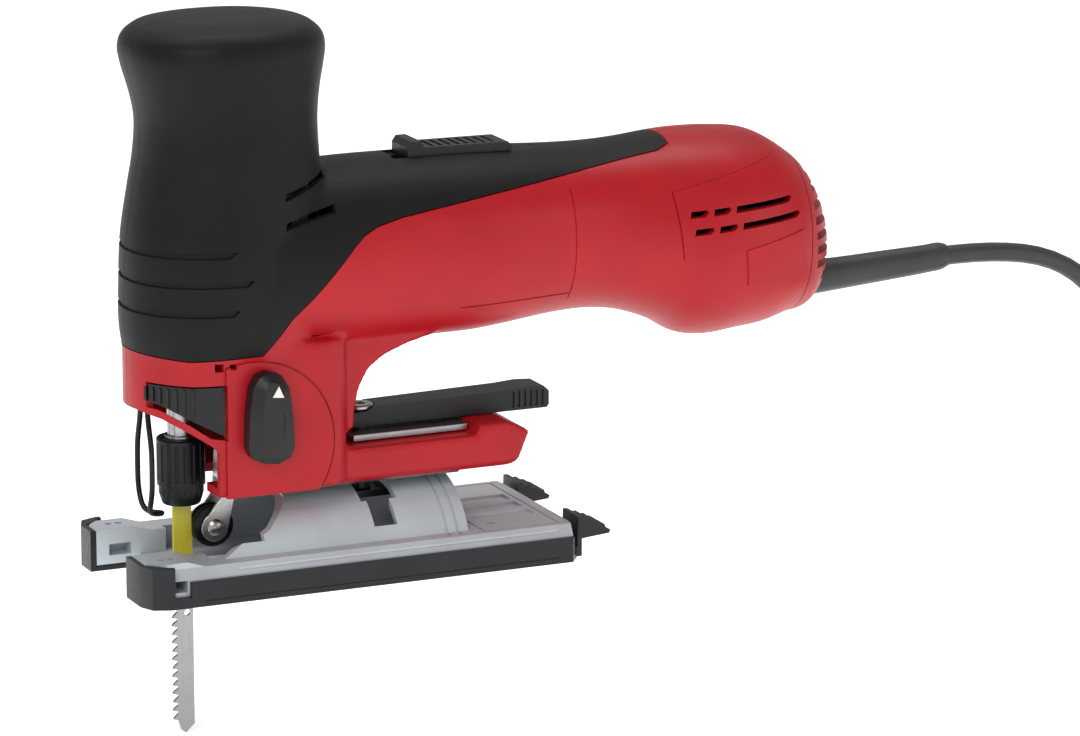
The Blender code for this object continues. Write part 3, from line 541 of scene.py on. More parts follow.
handle = bridged(smoothed([(0, PLUG.y, PLUG.z, 12.0, 8.2), (1.4, PLUG.y, PLUG.z, 13.0, 9.2),
                           (15, PLUG.y, PLUG.z, 13.0, 9.2),
                           (25, PLUG.y, PLUG.z, 10.2, 8.4), (33, PLUG.y, PLUG.z, 8.4, 7.2),
                           (36, PLUG.y, PLUG.z - 0.3, 6.0, 5.8),
                           (54, PLUG.y, PLUG.z - 2.6, 4.3, 4.3)], 30), "X", 3.2, 48)
bmesh.ops.scale(handle, verts=handle.verts, vec=(-1, 1, 1))
bmesh.ops.translate(handle, verts=handle.verts, vec=(PLUG.x, 0, 0))
plug = solid(handle)
for k in range(5):
    x = PLUG.x - 38.9 - 3.1 * k
    cut(plug, block(x, x + 1.3, PLUG.y - 9, PLUG.y - 3.2, PLUG.z - 9, PLUG.z + 7),
        block(x, x + 1.3, PLUG.y + 3.2, PLUG.y + 9, PLUG.z - 9, PLUG.z + 7))
for k in range(4):
    x = PLUG.x - 8.5 - 3.4 * k
    cut(plug, block(x, x + 1.5, PLUG.y - 14, PLUG.y - 12.3, PLUG.z - 6, PLUG.z + 6),
        block(x, x + 1.5, PLUG.y + 12.3, PLUG.y + 14, PLUG.z - 6, PLUG.z + 6))
plug = finish_solid(plug, "moulded_plug", RUBBER, "housing", ("plug_body",))
for side, node in ((-1, "plug_left_blade"), (1, "plug_right_blade")):
    y = PLUG.y + side * 6.35
    blade = solid(outline([(PLUG.x + 15.5, PLUG.z - 2.2), (PLUG.x + 14.4, PLUG.z - 3.15),
                           (PLUG.x - 1, PLUG.z - 3.15), (PLUG.x - 1, PLUG.z + 3.15),
                           (PLUG.x + 14.4, PLUG.z + 3.15), (PLUG.x + 15.5, PLUG.z + 2.2)], "Y", y - 0.75,
                          y + 0.75))
    cut(blade, rod(y - 3, y + 3, 1.6, "Y", PLUG.x + 11.5, PLUG.z, 20))
    finish_solid(blade, node + "_plated", NICKEL, "housing", (node,), bevel=0.25)

# the strain relief tapers from the housing down to the cord, which slides out through its end
boot = bridged(smoothed([(158.5, 0, 82.6, 6.1, 6.1), (161, 0, 82.8, 6.1, 6.1), (170, 0, 83.2, 5.8, 5.8),
                         (190, 0, 84.3, 5.4, 5.4),
                         (207, 0, 85.3, 5.0, 5.0), (212.4, 0, 85.75, 4.8, 4.8),
                         (214.2, 0, 85.85, 4.2, 4.2)], 40), "X", 2.0, 40)
finish(boot, "strain_relief_boot", RUBBER, "housing", ("strain_relief",))

# %% [markdown]
# ## The moulded body
# The knob, the barrel and the head are one flowing shape. Each starts as a stack of ovals, the stacks are
# joined, and a voxel remesh with a little smoothing rounds every meeting line the way a mould does. That
# skin is then hollowed and cut into the pieces that the real tool is assembled from.

# %% Sections of the knob and the barrel
KNOB = [(79.5, -62.0, 0, 34.6, 25.4), (87, -62.5, 0, 35.0, 27.8), (104, -62.3, 0, 35.0, 29.6),
        (120, -61.8, 0, 34.6, 29.6),
        (135, -60.9, 0, 33.0, 29.0), (148, -60.3, 0, 31.2, 28.6), (160, -60.2, 0, 30.7, 28.6),
        (170, -60.8, 0, 32.2, 29.8),
        (178, -61.3, 0, 34.0, 31.4), (184, -61.4, 0, 34.6, 32.0), (188.5, -61.2, 0, 32.6, 30.2),
        (191.4, -60.8, 0, 27.6, 25.6),
        (192.7, -60.5, 0, 20.0, 18.5), (193.0, -60.5, 0, 12.0, 11.0)]
AXIS_Z = 109.3
WALL = 3.0
NOSE_X, NOSE_LONG, NOSE_WIDE = -70, 27, 25
BOLT_X = -12.5  # the axis of the bolt that clamps the shoe
BARREL = [(-52, 0, AXIS_Z, 30.2, 30.2), (-30, 0, AXIS_Z, 31.7, 31.7), (20, 0, AXIS_Z, 31.7, 31.7),
          (88, 0, 108.5, 31.4, 30.9),
          (97, 0, 107.0, 33.4, 33.2), (104, 0, 105.1, 35.6, 35.6), (112, 0, 104.4, 36.6, 36.4),
          (124, 0, 104.6, 36.6, 35.6),
          (135, 0, 104.3, 34.6, 34.2), (145.5, 0, 102.6, 30.2, 29.8), (152, 0, 100.2, 25.4, 26.6),
          (157, 0, 98.0, 19.5, 20.5),
          (160.6, 0, 96.8, 12.5, 13.4)]


def knob_skin(inset=0.0):
    rows = [(z if z < 186 else z - inset, x, y, rx - inset, ry - inset) for z, x, y, rx, ry in KNOB]
    return bridged(smoothed(rows, 56), "Z", 2.2, 96)


def barrel_skin(inset=0.0):
    rows = [(x if x < 140 else x - inset, y, z, ry - inset, rz - inset) for x, y, z, ry, rz in BARREL]
    return bridged(smoothed(rows, 70), "X", 2.15, 96)


def head_plan(inset=0.0):
    """The head from above: a round nose about the blade and rounded rear corners."""
    turns = np.radians(np.linspace(90, 270, 33))
    nose = [(NOSE_X + (NOSE_LONG - inset) * math.cos(t), (NOSE_WIDE - inset) * math.sin(t)) for t in turns]
    near = arc(-33, -17, 8 - inset, -90, 0, 9)
    far = arc(-33, 17, 8 - inset, 0, 90, 9)
    return nose + near + far


# %% Join and round the body
def body_blank():
    skin = solid(knob_skin())
    join(skin, barrel_skin(), outline(head_plan(), "Z", 33.0, 84.0))
    web = [(-40, 50), (-21.4, 50), (-20.8, 58), (-19.2, 65), (-15.6, 71), (-10, 75), (-2, 78), (8, 80.5),
           (12, 92), (-40, 92)]
    join(skin, outline(web, "Y", -18, 18))
    tail = [(-60, 31.4), (35.2, 31.4), (38.6, 32.8), (43.2, 43.5), (36, 47.2), (24, 47.2), (23.9, 44.0),
            (-60, 44.0)]
    tail_bar = solid(outline(tail, "Y", -20, 20))
    keep(tail_bar, outline([(-20, 60), (-20, 33.6), (-17.6, 31.4), (17.6, 31.4), (20, 33.6), (20, 60)], "X",
                           -70, 50))
    return join(skin, tail_bar)


def rounded(obj, voxel, passes):
    step = obj.modifiers.new("voxels", "REMESH")
    step.mode = "VOXEL"
    step.voxel_size = voxel
    soften = obj.modifiers.new("soften", "SMOOTH")
    soften.factor = 0.5
    soften.iterations = passes
    return applied(obj)


VOXEL = 1.15
shell = rounded(body_blank(), VOXEL, 9)
print("body skin:", len(shell.data.polygons), "faces")

# a raised disc round the orbit selector, cut short by the release lever ahead of it
disc = arc(-61.7, 50, 29.2, -35.6, 108.6, 40) + [(-71.0, 33.0)]
join(shell, outline(disc, "Y", -25.95, -22.0))
rim = turned([(-26.4, 29.2), (-26.4, 30.0), (-24.4, 30.0), (-24.4, 29.2)], "Y", -61.7, 50, 120, closed=True)
rim = keep(solid(rim), outline([(-40, 20), (-20, 20), (-20, 78.5), (-70, 78.5), (-52, 60)], "Y", -40, -10))
cut(shell, rim)
join(shell, outline([(-60, 44.1), (24.4, 44.1), (24.4, 41.0), (-60, 41.0)], "Y", -14.6, 14.6))

# hollow it, and open the chin round the blade
room = solid(knob_skin(WALL))
join(room, barrel_skin(WALL), outline(head_plan(WALL), "Z", 36.0, 86.0))
cut(shell, room)
CHIN = [(-110, 63.2), (-96.2, 62.4), (-90.6, 60.6), (-82.8, 56.0), (-75.3, 51.0), (-73.2, 49.0),
        (-73.2, 20), (-110, 20)]
cut(shell, outline(CHIN, "Y", -60, 60), block(-91.5, -64, -11, 11, 20, 70), block(-76, -50, -12, 12, 20, 45))
cut(shell, rod(20, 60, 4.4, "Z", BOLT_X, 0, 32), block(-46, 20.4, -17.3, 17.3, 20, 33.1))

# the window for the release lever, the exhaust slots in the knob, the switch recess
LEVER_WINDOW = [(-104, 72.9), (-96, 72.9), (-82, 72.1), (-70.6, 72.1), (-70.6, 53.0), (-76.2, 54.0),
                (-82.3, 58.4), (-91.4, 63.6), (-104, 65.4)]
window = solid(outline([(-70.5, -40), (-70.5, -17.4), (-84, -12.6), (-88, -9.8), (-104, -12.6),
                        (-104, -40)], "Z", 40, 90))
keep(window, outline(LEVER_WINDOW, "Y", -60, 60))
cut(window, outline(head_plan(3.9), "Z", 30, 90))
cut(shell, window)
for z in (124.4, 134.4):
    cut(shell, outline([(-50, z - 1.0), (-31, z + 3.4), (-31, z + 6.2), (-49.4, z + 1.8)], "Y", -60, 60))
cut(shell, block(-2.35, 52.1, -7.85, 7.85, 139.45, 160), block(-1.5, 10.5, -3.1, 3.1, 130, 160))
cut(shell, rod(-40, -15, 4.4, "Y", -58.5, 52.5, 32))
# two small sight slots under the grip, and the hairline round the name-plate area, left blank
cut(shell, block(-74.6, -71.6, -40, -20, 76.8, 79.6), block(-69.4, -67.2, -40, -20, 77.4, 79.2))
hairline = solid(block(55.6, 56.1, -40, -10, 90.0, 128.6))
join(hairline, outline([(14, 90.9), (14, 91.4), (55.9, 92.2), (55.9, 91.7)], "Y", -40, -10))
cut(hairline, barrel_skin(0.3))
cut(shell, hairline)

# %% Grooves round the front of the grip
for low, rear in ((116.0, -70.0), (106.0, -64.0), (96.0, -69.0)):
    groove = solid(outline([(-120, low), (rear, low), (rear + 2.4, low + 2.2), (-120, low + 1.6)], "Y", -60,
                           60))
    cut(groove, knob_skin(0.9))
    cut(shell, groove)

# %% [markdown]
# ## Parting the body
# The black grip is moulded over the red nylon, the tail end is a separate intake cap, and the body is a
# clamshell split down the middle. A gap of a few tenths of a millimetre draws each of those lines.

# %% Rear cap, grip and clamshell halves
CAP_X = 146.0
cap = keep(twin(shell, "cap"), block(CAP_X + 0.35, 200, -60, 60, 40, 160))
cut(shell, block(CAP_X, 200, -60, 60, 40, 160))
louvres = solid(block(CAP_X + 5.5, 200, -21, 21, 87.0, 89.8))
for k in range(1, 8):
    low = 87.0 + 5.2 * k
    join(louvres, block(CAP_X + 2.6 + 0.5 * abs(k - 4), 200, -40, 40, low, low + 2.8))
cut(louvres, barrel_skin(2.2))
cut(cap, louvres)
cut(cap, rod(140, 190, 6.9, "X", 0, 83.0, 32))
finish_solid(cap, "intake_cap", NYLON_RED, "housing", ("rear_cap",), sharp=38)

GRIP = ([(-112, 84.6), (-96.8, 82.6), (-82.5, 80.8), (-57.5, 81.4), (-26.5, 116.6), (-22.6, 120.2),
         (-17.5, 122.8), (-8, 125.0), (28, 129.5),
         (70, 134.2), (93, 137.0)] + [(98.2, 138.6), (99.8, 142), (99.8, 150), (80, 215), (-112, 215)])
grip = keep(twin(shell, "grip"), outline(GRIP, "Y", -70, 70))
edge = [(x, z - 0.4) for x, z in GRIP[:11]] + [(98.5, 138.1), (100.3, 142), (100.3, 150), (80, 215),
                                               (-112, 215)]
cut(shell, outline(edge, "Y", -70, 70))

PANEL = [(92.6, 124.6), (95.4, 101.4), (141.2, 109.6), (137.0, 133.6)]
middle = Vector((116.5, 117.3))
WINDOW = [tuple(middle + (Vector(p) - middle) * 1.007) for p in PANEL]
SCREWS = [(-66, 46.0, 25.2), (-36, 46.0, 25.2), (-26, 92.0, 26.9), (70, 84.0, 19.7), (128, 76.0, 23.3)]
for side, name in ((-1, "left"), (1, "right")):
    low, high = sorted((side * 0.15, side * 80.0))
    half = keep(twin(shell, name), block(-150, 220, low, high, -50, 250))
    low, high = sorted((side * 15.0, side * 70.0))
    cut(half, outline(WINDOW, "Y", low, high))
    if side < 0:
        # a blank plate that stands a little proud of the left side
        label = solid(barrel_skin(-0.4))
        cut(label, barrel_skin(1.2))
        keep(label, outline([(117.2, 103.6), (141.6, 108.2), (142.4, 91.4), (118.8, 90.7)], "Y", low, high))
        join(half, label)
    if side > 0:
        for x, z, out in SCREWS:
            cut(half, rod(out - 1.6, out + 12, 3.4, "Y", x, z, 28))
    finish_solid(half, name + "_shell", NYLON_RED, "housing", (name + "_housing",), sharp=38)
    low, high = sorted((side * 0.1, side * 80.0))
    soft = keep(twin(grip, name), block(-150, 220, low, high, -50, 250))
    finish_solid(soft, name + "_overmould", ELASTOMER, "housing", (name + "_grip",), sharp=38)
bpy.data.objects.remove(shell, do_unlink=True)
bpy.data.objects.remove(grip, do_unlink=True)

# %% Vent panels
ROWS = [((97.4, 116.9), (136.8, 119.4)), ((98.6, 110.9), (139.8, 114.0))]
BREAKS = (0.0, 0.165, 0.205, 0.375, 0.415, 1.0)
for side, name in ((-1, "left"), (1, "right")):
    low, high = sorted((side * 15.0, side * 70.0))
    panel = solid(barrel_skin(-0.45))
    cut(panel, barrel_skin(2.4))
    keep(panel, outline(PANEL, "Y", low, high))
    for (xa, za), (xb, zb) in ROWS:
        for first, last in zip(BREAKS[::2], BREAKS[1::2]):
            x0, x1 = xa + (xb - xa) * first, xa + (xb - xa) * last
            z0, z1 = za + (zb - za) * first, za + (zb - za) * last
            cut(panel, outline([(x0, z0 - 1.15), (x1 - 1.6, z1 - 1.15), (x1, z1 + 0.2),
                                (x1 - 0.6, z1 + 1.15), (x0 + 0.5, z0 + 1.15)], "Y", low, high))
    finish_solid(panel, name + "_vent_grille", NYLON_RED, "housing", (name + "_vent_panel",), sharp=38,
                 bevel=0.25)

# %% [markdown]
# ## Controls
# The blade release lever wraps a quarter of the nose and has ribs for the finger. The orbit selector is a
# tapered turn-button with a small white pointer. The slide switch runs along the top of the barrel, and the
# long lever under the barrel clamps the shoe.

# %% Release lever
lever = solid(outline(head_plan(-0.2), "Z", 48.0, 80.0))
cut(lever, outline(head_plan(3.4), "Z", 40, 90))
keep(lever, outline([(-71.7, -40), (-71.7, -19.6), (-82.5, -15.4), (-87.2, -10.6), (-103, -14.5),
                     (-103, -40)], "Z", 40, 90))
keep(lever, outline([(-103, 72.4), (-96, 72.4), (-82, 71.6), (-71.8, 71.6), (-71.8, 54.8), (-82.3, 60.4),
                     (-91.4, 65.6), (-103, 67.2)], "Y", -60, 60))
# finger ribs stand round the front two thirds, each square to the nose
for k in range(7):
    turn = math.radians(207 + 6.2 * k)
    spot = Vector((NOSE_X + NOSE_LONG * math.cos(turn), NOSE_WIDE * math.sin(turn), 0))
    square = math.atan2(math.sin(turn) / NOSE_WIDE, math.cos(turn) / NOSE_LONG)
    rib = solid(block(-0.8, 0.95, -0.5, 0.5, 61.4 - 0.8 * k, 71.2))
    rib.data.transform(Matrix.Translation(spot) @ Matrix.Rotation(square, 4, "Z"))
    keep(rib, outline([(-103, 72.0), (-82, 71.2), (-71.8, 71.2), (-71.8, 55.6), (-82.3, 61.0),
                       (-91.4, 66.2), (-103, 67.8)], "Y", -60, 60))
    join(lever, rib)
finish_solid(lever, "blade_release_lever", ABS_BLACK, "release", ("release_lever",), bevel=0.25)

# %% Orbit selector
SELECT = (-58.5, 52.5)
button = [(-65.2, 50.4), (-64.9, 62), (-63.6, 71.6), (-61.2, 75.4), (-57.4, 76.5), (-53.2, 75.2),
          (-50.4, 70.4), (-49.2, 60), (-48.8, 50.2),
          (-50.2, 46.6), (-54.6, 44.8), (-60.0, 45.4), (-63.8, 47.4)]
bm = outline(button, "Y", -31.4, -25.9)
front = min(bm.faces, key=lambda face: face.calc_center_median().y)
grown = bmesh.ops.extrude_face_region(bm, geom=[front])["geom"]
ridge = [item for item in grown if isinstance(item, bmesh.types.BMVert)]
for vert in ridge:
    vert.co.x += (-57.3 - vert.co.x) * 0.52
    vert.co.z += (61.0 - vert.co.z) * 0.16
    vert.co.y = -34.3 if vert.co.z > 52 else -33.4
if front.is_valid:
    bmesh.ops.delete(bm, geom=[front], context="FACES_ONLY")
selector = solid(bm)
join(selector, rod(-26.4, -13.4, 4.0, "Y", *SELECT, 28))
finish_solid(selector, "orbit_selector_button", ABS_BLACK, "selector", ("orbit_selector",), bevel=0.7,
             segments=3)
pointer = outline([(-57.8, 68.8), (-53.8, 68.4), (-55.6, 72.4)], "Y", -34.7, -34.1)
finish(pointer, "selector_pointer", PAINT_WHITE, "selector")

# %% Slide switch
rail = solid(outline([(3.2, 139.8), (42.0, 139.8), (42.0, 141.6), (40.4, 142.9), (9.4, 143.3), (8.2, 145.6),
                      (4.6, 145.6), (3.2, 143.6)], "Y", -7.0, 7.0))
join(rail, block(3.6, 9.4, -2.6, 2.6, 136.0, 140.6))
for k in range(8):
    cut(rail, block(12.6 + 3.2 * k, 13.9 + 3.2 * k, -5.2, 5.2, 142.6, 150))
finish_solid(rail, "slide_switch_bar", ABS_BLACK, "switch", ("slide_switch",), bevel=0.4)

# %% Shoe clamp lever, its screw, and the steel plates
arm = solid(outline([(-19.6, 47.7), (55.4, 47.5), (56.3, 48.6), (56.3, 53.4), (54.4, 55.2), (48.0, 55.6),
                     (40.8, 55.1), (-8.6, 54.2), (-12.0, 52.9),
                     (-19.6, 52.4)], "Y", -6.0, 6.0))
keep(arm, outline([(-19.6, -3.4), (-17.4, -6.0), (60, -6.0), (60, 6.0), (-17.4, 6.0), (-19.6, 3.4)], "Z",
                  40, 60))
cut(arm, rod(40, 60, 3.3, "Z", BOLT_X, 0, 32), rod(52.6, 60, 5.3, "Z", BOLT_X, 0, 32))
for k in range(6):
    x = 42.2 + 2.2 * k
    cut(arm, block(x, x + 1.0, -8, -5.4, 48.6, 54.2), block(x, x + 1.0, 5.4, 8, 48.6, 54.2))
cut(arm, block(-4, 38, -4.0, 4.0, 40, 49.2))
finish_solid(arm, "clamp_lever_arm", ABS_BLACK, "clamp", ("clamp_lever",), bevel=0.5, segments=3)
cap_screw = solid(turned([(44.0, 0), (44.0, 2.9), (53.3, 2.9), (53.3, 4.9), (54.2, 4.9), (54.6, 4.4),
                          (54.6, 0)], "Z", BOLT_X, 0, 36))
cut(cap_screw, turned([(53.7, 0), (53.7, 2.2), (56, 2.2), (56, 0)], "Z", BOLT_X, 0, 6))
finish_solid(cap_screw, "clamp_cap_screw", ZINC_STEEL, "clamp", ("clamp_screw",), bevel=0.12)
track = solid(block(-20.0, 22.4, -13.0, 13.0, 44.4, 46.8))
cut(track, rod(40, 60, 3.3, "Z", BOLT_X, 0, 28))
finish_solid(track, "clamp_track", GROUND_STEEL, "housing", ("clamp_plate",), bevel=0.35)
saddle = solid(outline([(-11.4, 29.4), (11.4, 29.4), (12.8, 31.5), (16.8, 31.5), (16.8, 32.8),
                        (-16.8, 32.8), (-16.8, 31.5), (-12.8, 31.5)], "X", -45.4, 19.8))
cut(saddle, rod(20, 40, 4.3, "Z", BOLT_X, 0, 28))
finish_solid(saddle, "saddle_rail", GROUND_STEEL, "housing", ("saddle_plate",), bevel=0.25)

# %% [markdown]
# ## Blade, chuck, roller and guard
# The blade is a T-shank wood blade with side-set teeth that face forward and up. A sprung sleeve with ribs
# locks it to the plunger. Behind it a grooved roller in a steel fork backs the blade up, and a bent wire
# keeps fingers away in front.

# %% Saw blade
BLADE_X, TIP, EDGE, BACK = -78.0, FLOOR, -82.1, -74.5
TOOTH, TEETH_LOW, TEETH_HIGH = 3.0, TIP + 4.0, 12.0
shape = [(BLADE_X - 3.3, 45.0), (BLADE_X + 3.3, 45.0), (BLADE_X + 3.3, 16.0), (BACK, 14.0),
         (BACK, TIP + 3.0), (BLADE_X + 0.4, TIP), (BLADE_X - 1.2, TIP + 1.0),
         (EDGE + 2.0, TEETH_LOW)]
z = TEETH_LOW
while z + TOOTH < TEETH_HIGH:
    shape += [(EDGE + 1.9, z + 0.7), (EDGE, z + 1.2), (EDGE + 0.5, z + 2.0), (EDGE + 1.9, z + TOOTH)]
    z += TOOTH
shape += [(EDGE + 0.8, z + 0.6), (BLADE_X - 3.3, z + 2.6)]
saw = solid(outline(shape, "Y", -0.6, 0.6))
cut(saw, rod(-2, 2, 1.1, "Y", BLADE_X + 1.4, -12.4, 20))
# alternate teeth are set to the left and right, and the body between is a little thinner
for vert in saw.data.vertices:
    tooth = int((vert.co.z - TEETH_LOW) // TOOTH)
    if vert.co.x < EDGE + 0.9 and TEETH_LOW < vert.co.z < TEETH_HIGH:
        vert.co.y += 0.22 if tooth % 2 else -0.22


def blade_finish():
    """Ground steel up to the shank, where the maker's dip of yellow lacquer starts."""
    made = material("ground blade steel with yellow lacquer", "#A4A6A8", "#989A9D", 0.3, 0.09, metallic=1.0,
                    grain_mm=0.4, grain=0.2,
                    depth_mm=0.012, stretch=(1, 1, 0.06))
    tree = made.node_tree
    skin = next(node for node in tree.nodes if node.type == "BSDF_PRINCIPLED")
    height = add(tree, "ShaderNodeSeparateXYZ",
                 {"Vector": next(n for n in tree.nodes if n.type == "TEX_COORD").outputs["Object"]})
    line = add(tree, "ShaderNodeMapRange", {"Value": height.outputs["Z"], "From Min": 6.5 * MM,
                                            "From Max": 8.5 * MM})
    plain = skin.inputs["Base Color"].links[0].from_socket
    tree.links.new(blend(tree, line.outputs["Result"], plain, linear("#C9BE3A")), skin.inputs["Base Color"])
    metal = add(tree, "ShaderNodeMapRange", {"Value": line.outputs["Result"], "To Min": 1.0, "To Max": 0.0})
    tree.links.new(metal.outputs["Result"], skin.inputs["Metallic"])
    return made


finish_solid(saw, "wood_blade", blade_finish(), "blade_carrier", ("saw_blade",), sharp=20)

# %% Chuck sleeve and plunger
profile = [(26.6, 6.3), (27.2, 6.7), (30.6, 7.7), (33.2, 7.7), (33.4, 8.3), (49.2, 8.3), (49.6, 7.9),
           (49.6, 5.95), (26.6, 5.95)]
sleeve = solid(turned(profile, "Z", BLADE_X, 0, 72, closed=True))
FLUTES = 18
for k in range(FLUTES):
    turn = 2 * math.pi * k / FLUTES
    for low, high, radius, out in ((35.2, 48.0, 0.62, 8.5), (27.6, 32.4, 0.5, 7.9)):
        cut(sleeve, rod(low, high, radius, "Z", BLADE_X + out * math.cos(turn), out * math.sin(turn), 10))
finish_solid(sleeve, "chuck_locking_sleeve", BLACK_OXIDE, "chuck", ("chuck_sleeve",), bevel=0.15)
spindle = solid(turned([(28.4, 0), (28.4, 4.6), (30.4, 5.6), (50.6, 5.6), (50.6, 4.5), (161, 4.5),
                        (162, 3.6), (162, 0)], "Z", BLADE_X, 0, 40))
cut(spindle, block(BLADE_X - 4.6, BLADE_X + 4.6, -0.95, 0.95, 20, 45.4))
finish_solid(spindle, "hardened_plunger", ZINC_STEEL, "blade_carrier", ("plunger",), bevel=0.15)

# %% Guide roller, fork and rivet
ROLLER = (-67.5, 17.7)
tyre = turned([(-3.3, 1.8), (-3.3, 6.2), (-2.9, 7.1), (-2.5, 7.3), (-1.5, 7.3), (-0.8, 6.7), (0.8, 6.7),
               (1.5, 7.3), (2.5, 7.3), (2.9, 7.1), (3.3, 6.2),
               (3.3, 1.8)], "Y", *ROLLER, 64, closed=True)
finish(tyre, "grooved_guide_roller", ROLLER_STEEL, "roller", ("support_roller",))
cheek = arc(*ROLLER, 5.0, 120, 330, 22) + [(-58.0, 38.2), (-57.8, 43.0), (-64.2, 43.0), (-65.4, 28.0)]
fork = solid(outline(cheek, "Y", -4.8, 4.8))
cut(fork, block(-80, -50, -3.7, 3.7, 5, 33.5), rod(-8, 8, 1.8, "Y", *ROLLER, 24),
    rod(-8, 8, 2.3, "Y", -61, 40, 24))
finish_solid(fork, "roller_fork_arm", ZINC_STEEL, "fork", ("roller_fork",), bevel=0.3)
rivet = turned([(-6.3, 0), (-6.2, 1.3), (-5.7, 2.3), (-5.0, 2.9), (-5.0, 1.5), (5.0, 1.5), (5.0, 2.9),
                (5.7, 2.3), (6.2, 1.3), (6.3, 0)], "Y", *ROLLER, 36)
finish(rivet, "roller_rivet", ZINC_STEEL, "fork", ("roller_pin",))

# %% Wire guard
WIRE_X = -91.0
near = [(WIRE_X, -3.2, 71.0), (WIRE_X, -3.2, 65.0), (WIRE_X, -3.2, 60.0), (WIRE_X, -4.4, 55.0),
        (WIRE_X, -6.6, 49.0), (WIRE_X, -7.0, 44.0),
        (WIRE_X, -7.0, 38.0), (WIRE_X, -6.9, 33.0), (WIRE_X, -5.0, 28.0), (WIRE_X + 0.4, -2.6, 24.9),
        (WIRE_X + 3.0, -1.2, 23.7), (WIRE_X + 6.0, -0.6, 23.5)]
bent("bent_wire_guard", near + [(x, -y, z) for x, y, z in near[::-1]], 1.9, BLACK_OXIDE, "housing",
     ("wire_guard",))

# %% [markdown]
# ## The shoe
# A cast aluminium plate carries a half-drum whose axis lies in the sole, so that the line of the cut stays
# put as the shoe tilts. A black glide cover clips round it from below, with two hooks over the rear edge.

# %% Cast plate and half-drum
FRONT, REAR, HALF = -104.0, 53.5, 37.0
DRUM = 28.85
NEAR_IN, FAR_IN = -15.6, 19.5
rim = [(-HALF + 2.3, 2.0), (-HALF + 2.3, 9.0), (-31.6, 12.4), (31.6, 12.4), (HALF - 2.3, 9.0),
       (HALF - 2.3, 2.0)]
plate = solid(outline(rim, "X", FRONT - 5, REAR + 5))
for y0, y1 in ((-31.6, NEAR_IN), (FAR_IN, 31.6)):
    join(plate, outline([(FRONT - 3, 3), (FRONT + 2.0, 13.6), (FRONT + 3, 14.4), (-88.0, 14.4),
                         (-80.0, 11.9), (-80.0, 3)], "Y", y0, y1))
keep(plate, outline([(FRONT + 11.8, -HALF), (REAR - 1.4, -HALF), (REAR, -HALF + 9), (REAR, HALF - 9),
                     (REAR - 1.4, HALF), (FRONT + 11.8, HALF),
                     (FRONT + 2.2, HALF - 9.6), (FRONT + 2.2, -HALF + 9.6)], "Z", -5, 40))
drum = solid(turned([(-72, 0), (-72, DRUM), (17.0, DRUM), (17.0, 0)], "X", 0, 0, 160))
keep(drum, block(-80, 30, -40, 40, 3, 40))
cut(drum, outline([(-80, 45), (-43.0, 45), (-44.6, 27.1), (-48.2, 24.2), (-54.3, 19.4), (-58.2, 17.7),
                   (-65.2, 16.4), (-73, 12.0), (-80, 12.0)],
                  "Y", -50, 50))
join(plate, drum)
cut(plate, outline([(-15.5, 8.3), (15.5, 8.3), (40, 32.8), (40, 45), (-40, 45), (-40, 32.8)], "X", -74.5,
                   -57.0))
inner = solid(turned([(-76.5, 0), (-76.5, DRUM - 2.45), (18.5, DRUM - 2.45), (18.5, 0)], "X", 0, 0, 120))
keep(inner, block(-90, 30, -40, 40, 4.4, 40))
cut(plate, inner)
cut(plate, block(-120, -86, NEAR_IN, FAR_IN, -5, 40), block(-88, -75.9, NEAR_IN, FAR_IN, 4.4, 40),
    block(-90, -60, -6.6, 6.6, -5, 10))
# the clamp bolt's slot: wide over the top, and just wider than the bolt where it runs down the flanks
cut(plate, block(-18.6, -5.6, -15.8, 15.8, 12.8, 40), block(-16.7, -8.3, -23.4, 23.4, 12.8, 40))
for y0, y1 in ((-50, -20), (12, 26)):
    cut(plate, block(-97.2, -89.2, y0, y1, 5.0, 9.0))
for y in (-25.0, 26.0):
    for x in (-95.0, -91.4):
        cut(plate, rod(8, 20, 1.2, "Z", x, y, 20))
cut(plate, rod(9, 20, 1.6, "Z", 28, -20, 24))

# shallow steps that stiffen the casting
for x in (8.6, 12.4):
    cut(plate, turned([(x, DRUM - 0.5), (x, DRUM + 3), (x + 0.9, DRUM + 3), (x + 0.9, DRUM - 0.5)], "X", 0,
                      0, 120, closed=True))
for y in (-33.4, 33.4):
    cut(plate, block(-70, 48, y - 0.5, y + 0.5, 10.2, 13))
for x0, x1, y0, y1 in ((22.0, 49.0, -29.6, -28.8), (22.0, 49.0, 28.8, 29.6), (21.2, 22.0, -29.6, 29.6),
                       (49.0, 49.8, -29.6, 29.6)):
    cut(plate, block(x0, x1, y0, y1, 11.9, 13))
for y in (-10.4, 0, 10.4):
    cut(plate, block(24.0, 47.4, y - 3.6, y + 3.6, 11.5, 13))
finish_solid(plate, "cast_shoe", CAST_ALUMINIUM, "shoe", ("shoe_plate",), sharp=24, bevel=0.45, segments=3)

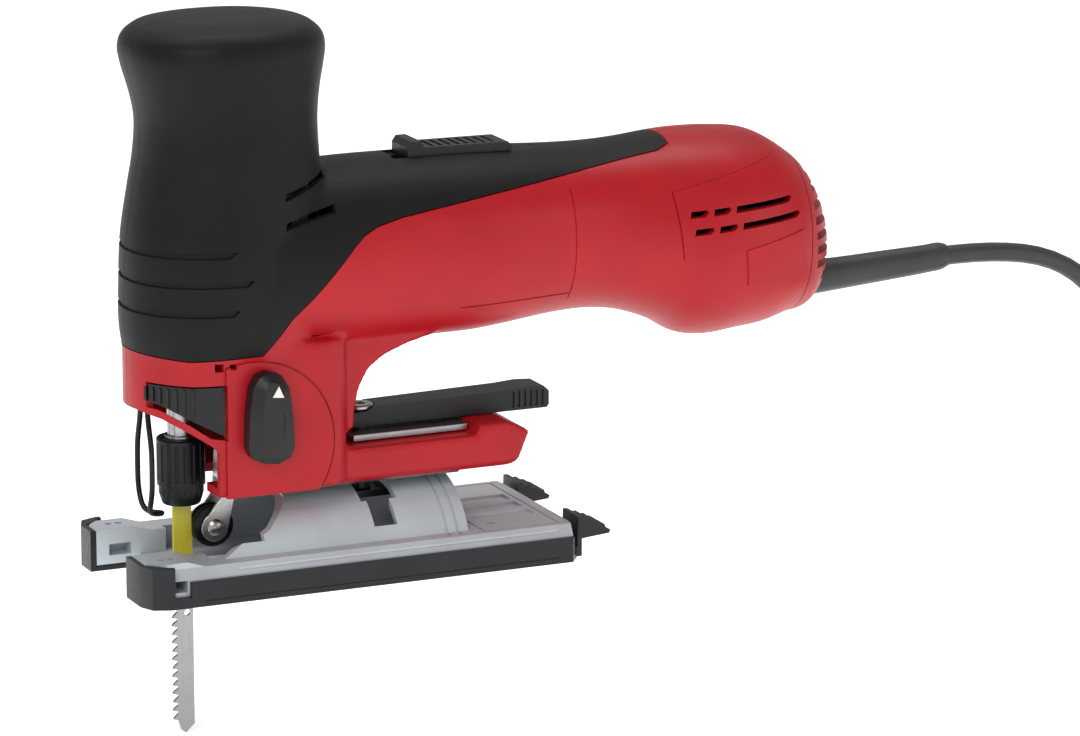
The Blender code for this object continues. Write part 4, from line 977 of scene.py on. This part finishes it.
# %% Glide cover
plan = [(FRONT + 8, -HALF), (REAR - 2, -HALF), (REAR + 1.6, -HALF + 5), (REAR + 1.6, HALF - 5),
        (REAR - 2, HALF), (FRONT + 8, HALF),
        (FRONT + 2.3, HALF - 2.3), (FRONT, HALF - 8), (FRONT, -HALF + 8), (FRONT + 2.3, -HALF + 2.3)]
cover = solid(outline(plan, "Z", 0, 14.3))
cut(cover, outline([(FRONT + 8.4, -HALF + 2.0), (REAR + 0.4, -HALF + 2.0), (REAR + 0.4, HALF - 2.0),
                    (FRONT + 8.4, HALF - 2.0),
                    (FRONT + 1.9, HALF - 8.0), (FRONT + 1.9, -HALF + 8.0)], "Z", 1.7, 40))
cut(cover, block(FRONT + 9.6, -88.5, -60, 60, 3.6, 60), block(-88.6, 80, -60, 60, 8.6, 60),
    block(REAR, 80, -60, 60, 4.0, 60))
cut(cover, block(-120, -86, NEAR_IN + 0.2, FAR_IN - 0.2, -5, 40), block(-90, -60, -5.4, 5.4, -5, 10))
for s in (-1, 1):
    y = 25.4 * s
    teeth = [(REAR + 14.4, 8.6), (REAR + 12.6, 9.4), (REAR + 12.3, 10.7), (REAR + 10.2, 10.5),
             (REAR + 9.9, 11.9), (REAR + 7.4, 11.7), (REAR + 7.0, 13.1),
             (REAR + 4.4, 12.9), (REAR + 4.0, 14.2), (REAR + 2.2, 14.4)]
    join(cover, outline([(REAR + 0.3, 0.3), (REAR + 3.6, 0.3), (REAR + 3.6, 6.5), (REAR + 14, 7.4)] + teeth
                        + [(REAR + 1.9, 4.0), (REAR + 0.3, 2.0)],
                        "Y", y - 6.5, y + 6.5))
for y in (-37.5, 36.7):
    cut(cover, block(-84, 46, y, y + 0.8, 1.9, 2.5))
finish_solid(cover, "glide_cover_moulded", ACETAL_BLACK, "shoe", ("glide_cover",), sharp=38, bevel=0.35)

# %% [markdown]
# ## What is inside
# The motor, the gears, the bearings and the cast gear frame keep the shapes of the mechanical model, which
# are right as they are, and take real finishes here: copper windings, steel laminations, bronze bushes.

# %% Finishes for the pieces kept from the model
FINISH_OF = {
    "red_nylon": NYLON_RED, "black_overmould": ELASTOMER, "black_plastic": ABS_BLACK,
    "cast_aluminium": CAST_ALUMINIUM,
    "gear_case": GEAR_CASE, "bright_steel": ZINC_STEEL, "dark_steel": BLACK_OXIDE,
    "blade_steel": GROUND_STEEL, "bronze": BRONZE,
    "copper": COPPER, "carbon": CARBON, "roller_steel": ROLLER_STEEL, "cord_rubber": RUBBER,
    "plug_metal": NICKEL,
}
kept = []
for name, obj in sorted(nodes.items()):
    if obj.hide_render:
        continue
    made = LAMINATION if name == "armature_core" else FINISH_OF[slot_of[name]]
    if not obj.material_slots:
        obj.data.materials.append(made)
    for held in obj.material_slots:
        held.material = made
    kept.append(name)
print("kept from the model:", ", ".join(kept))
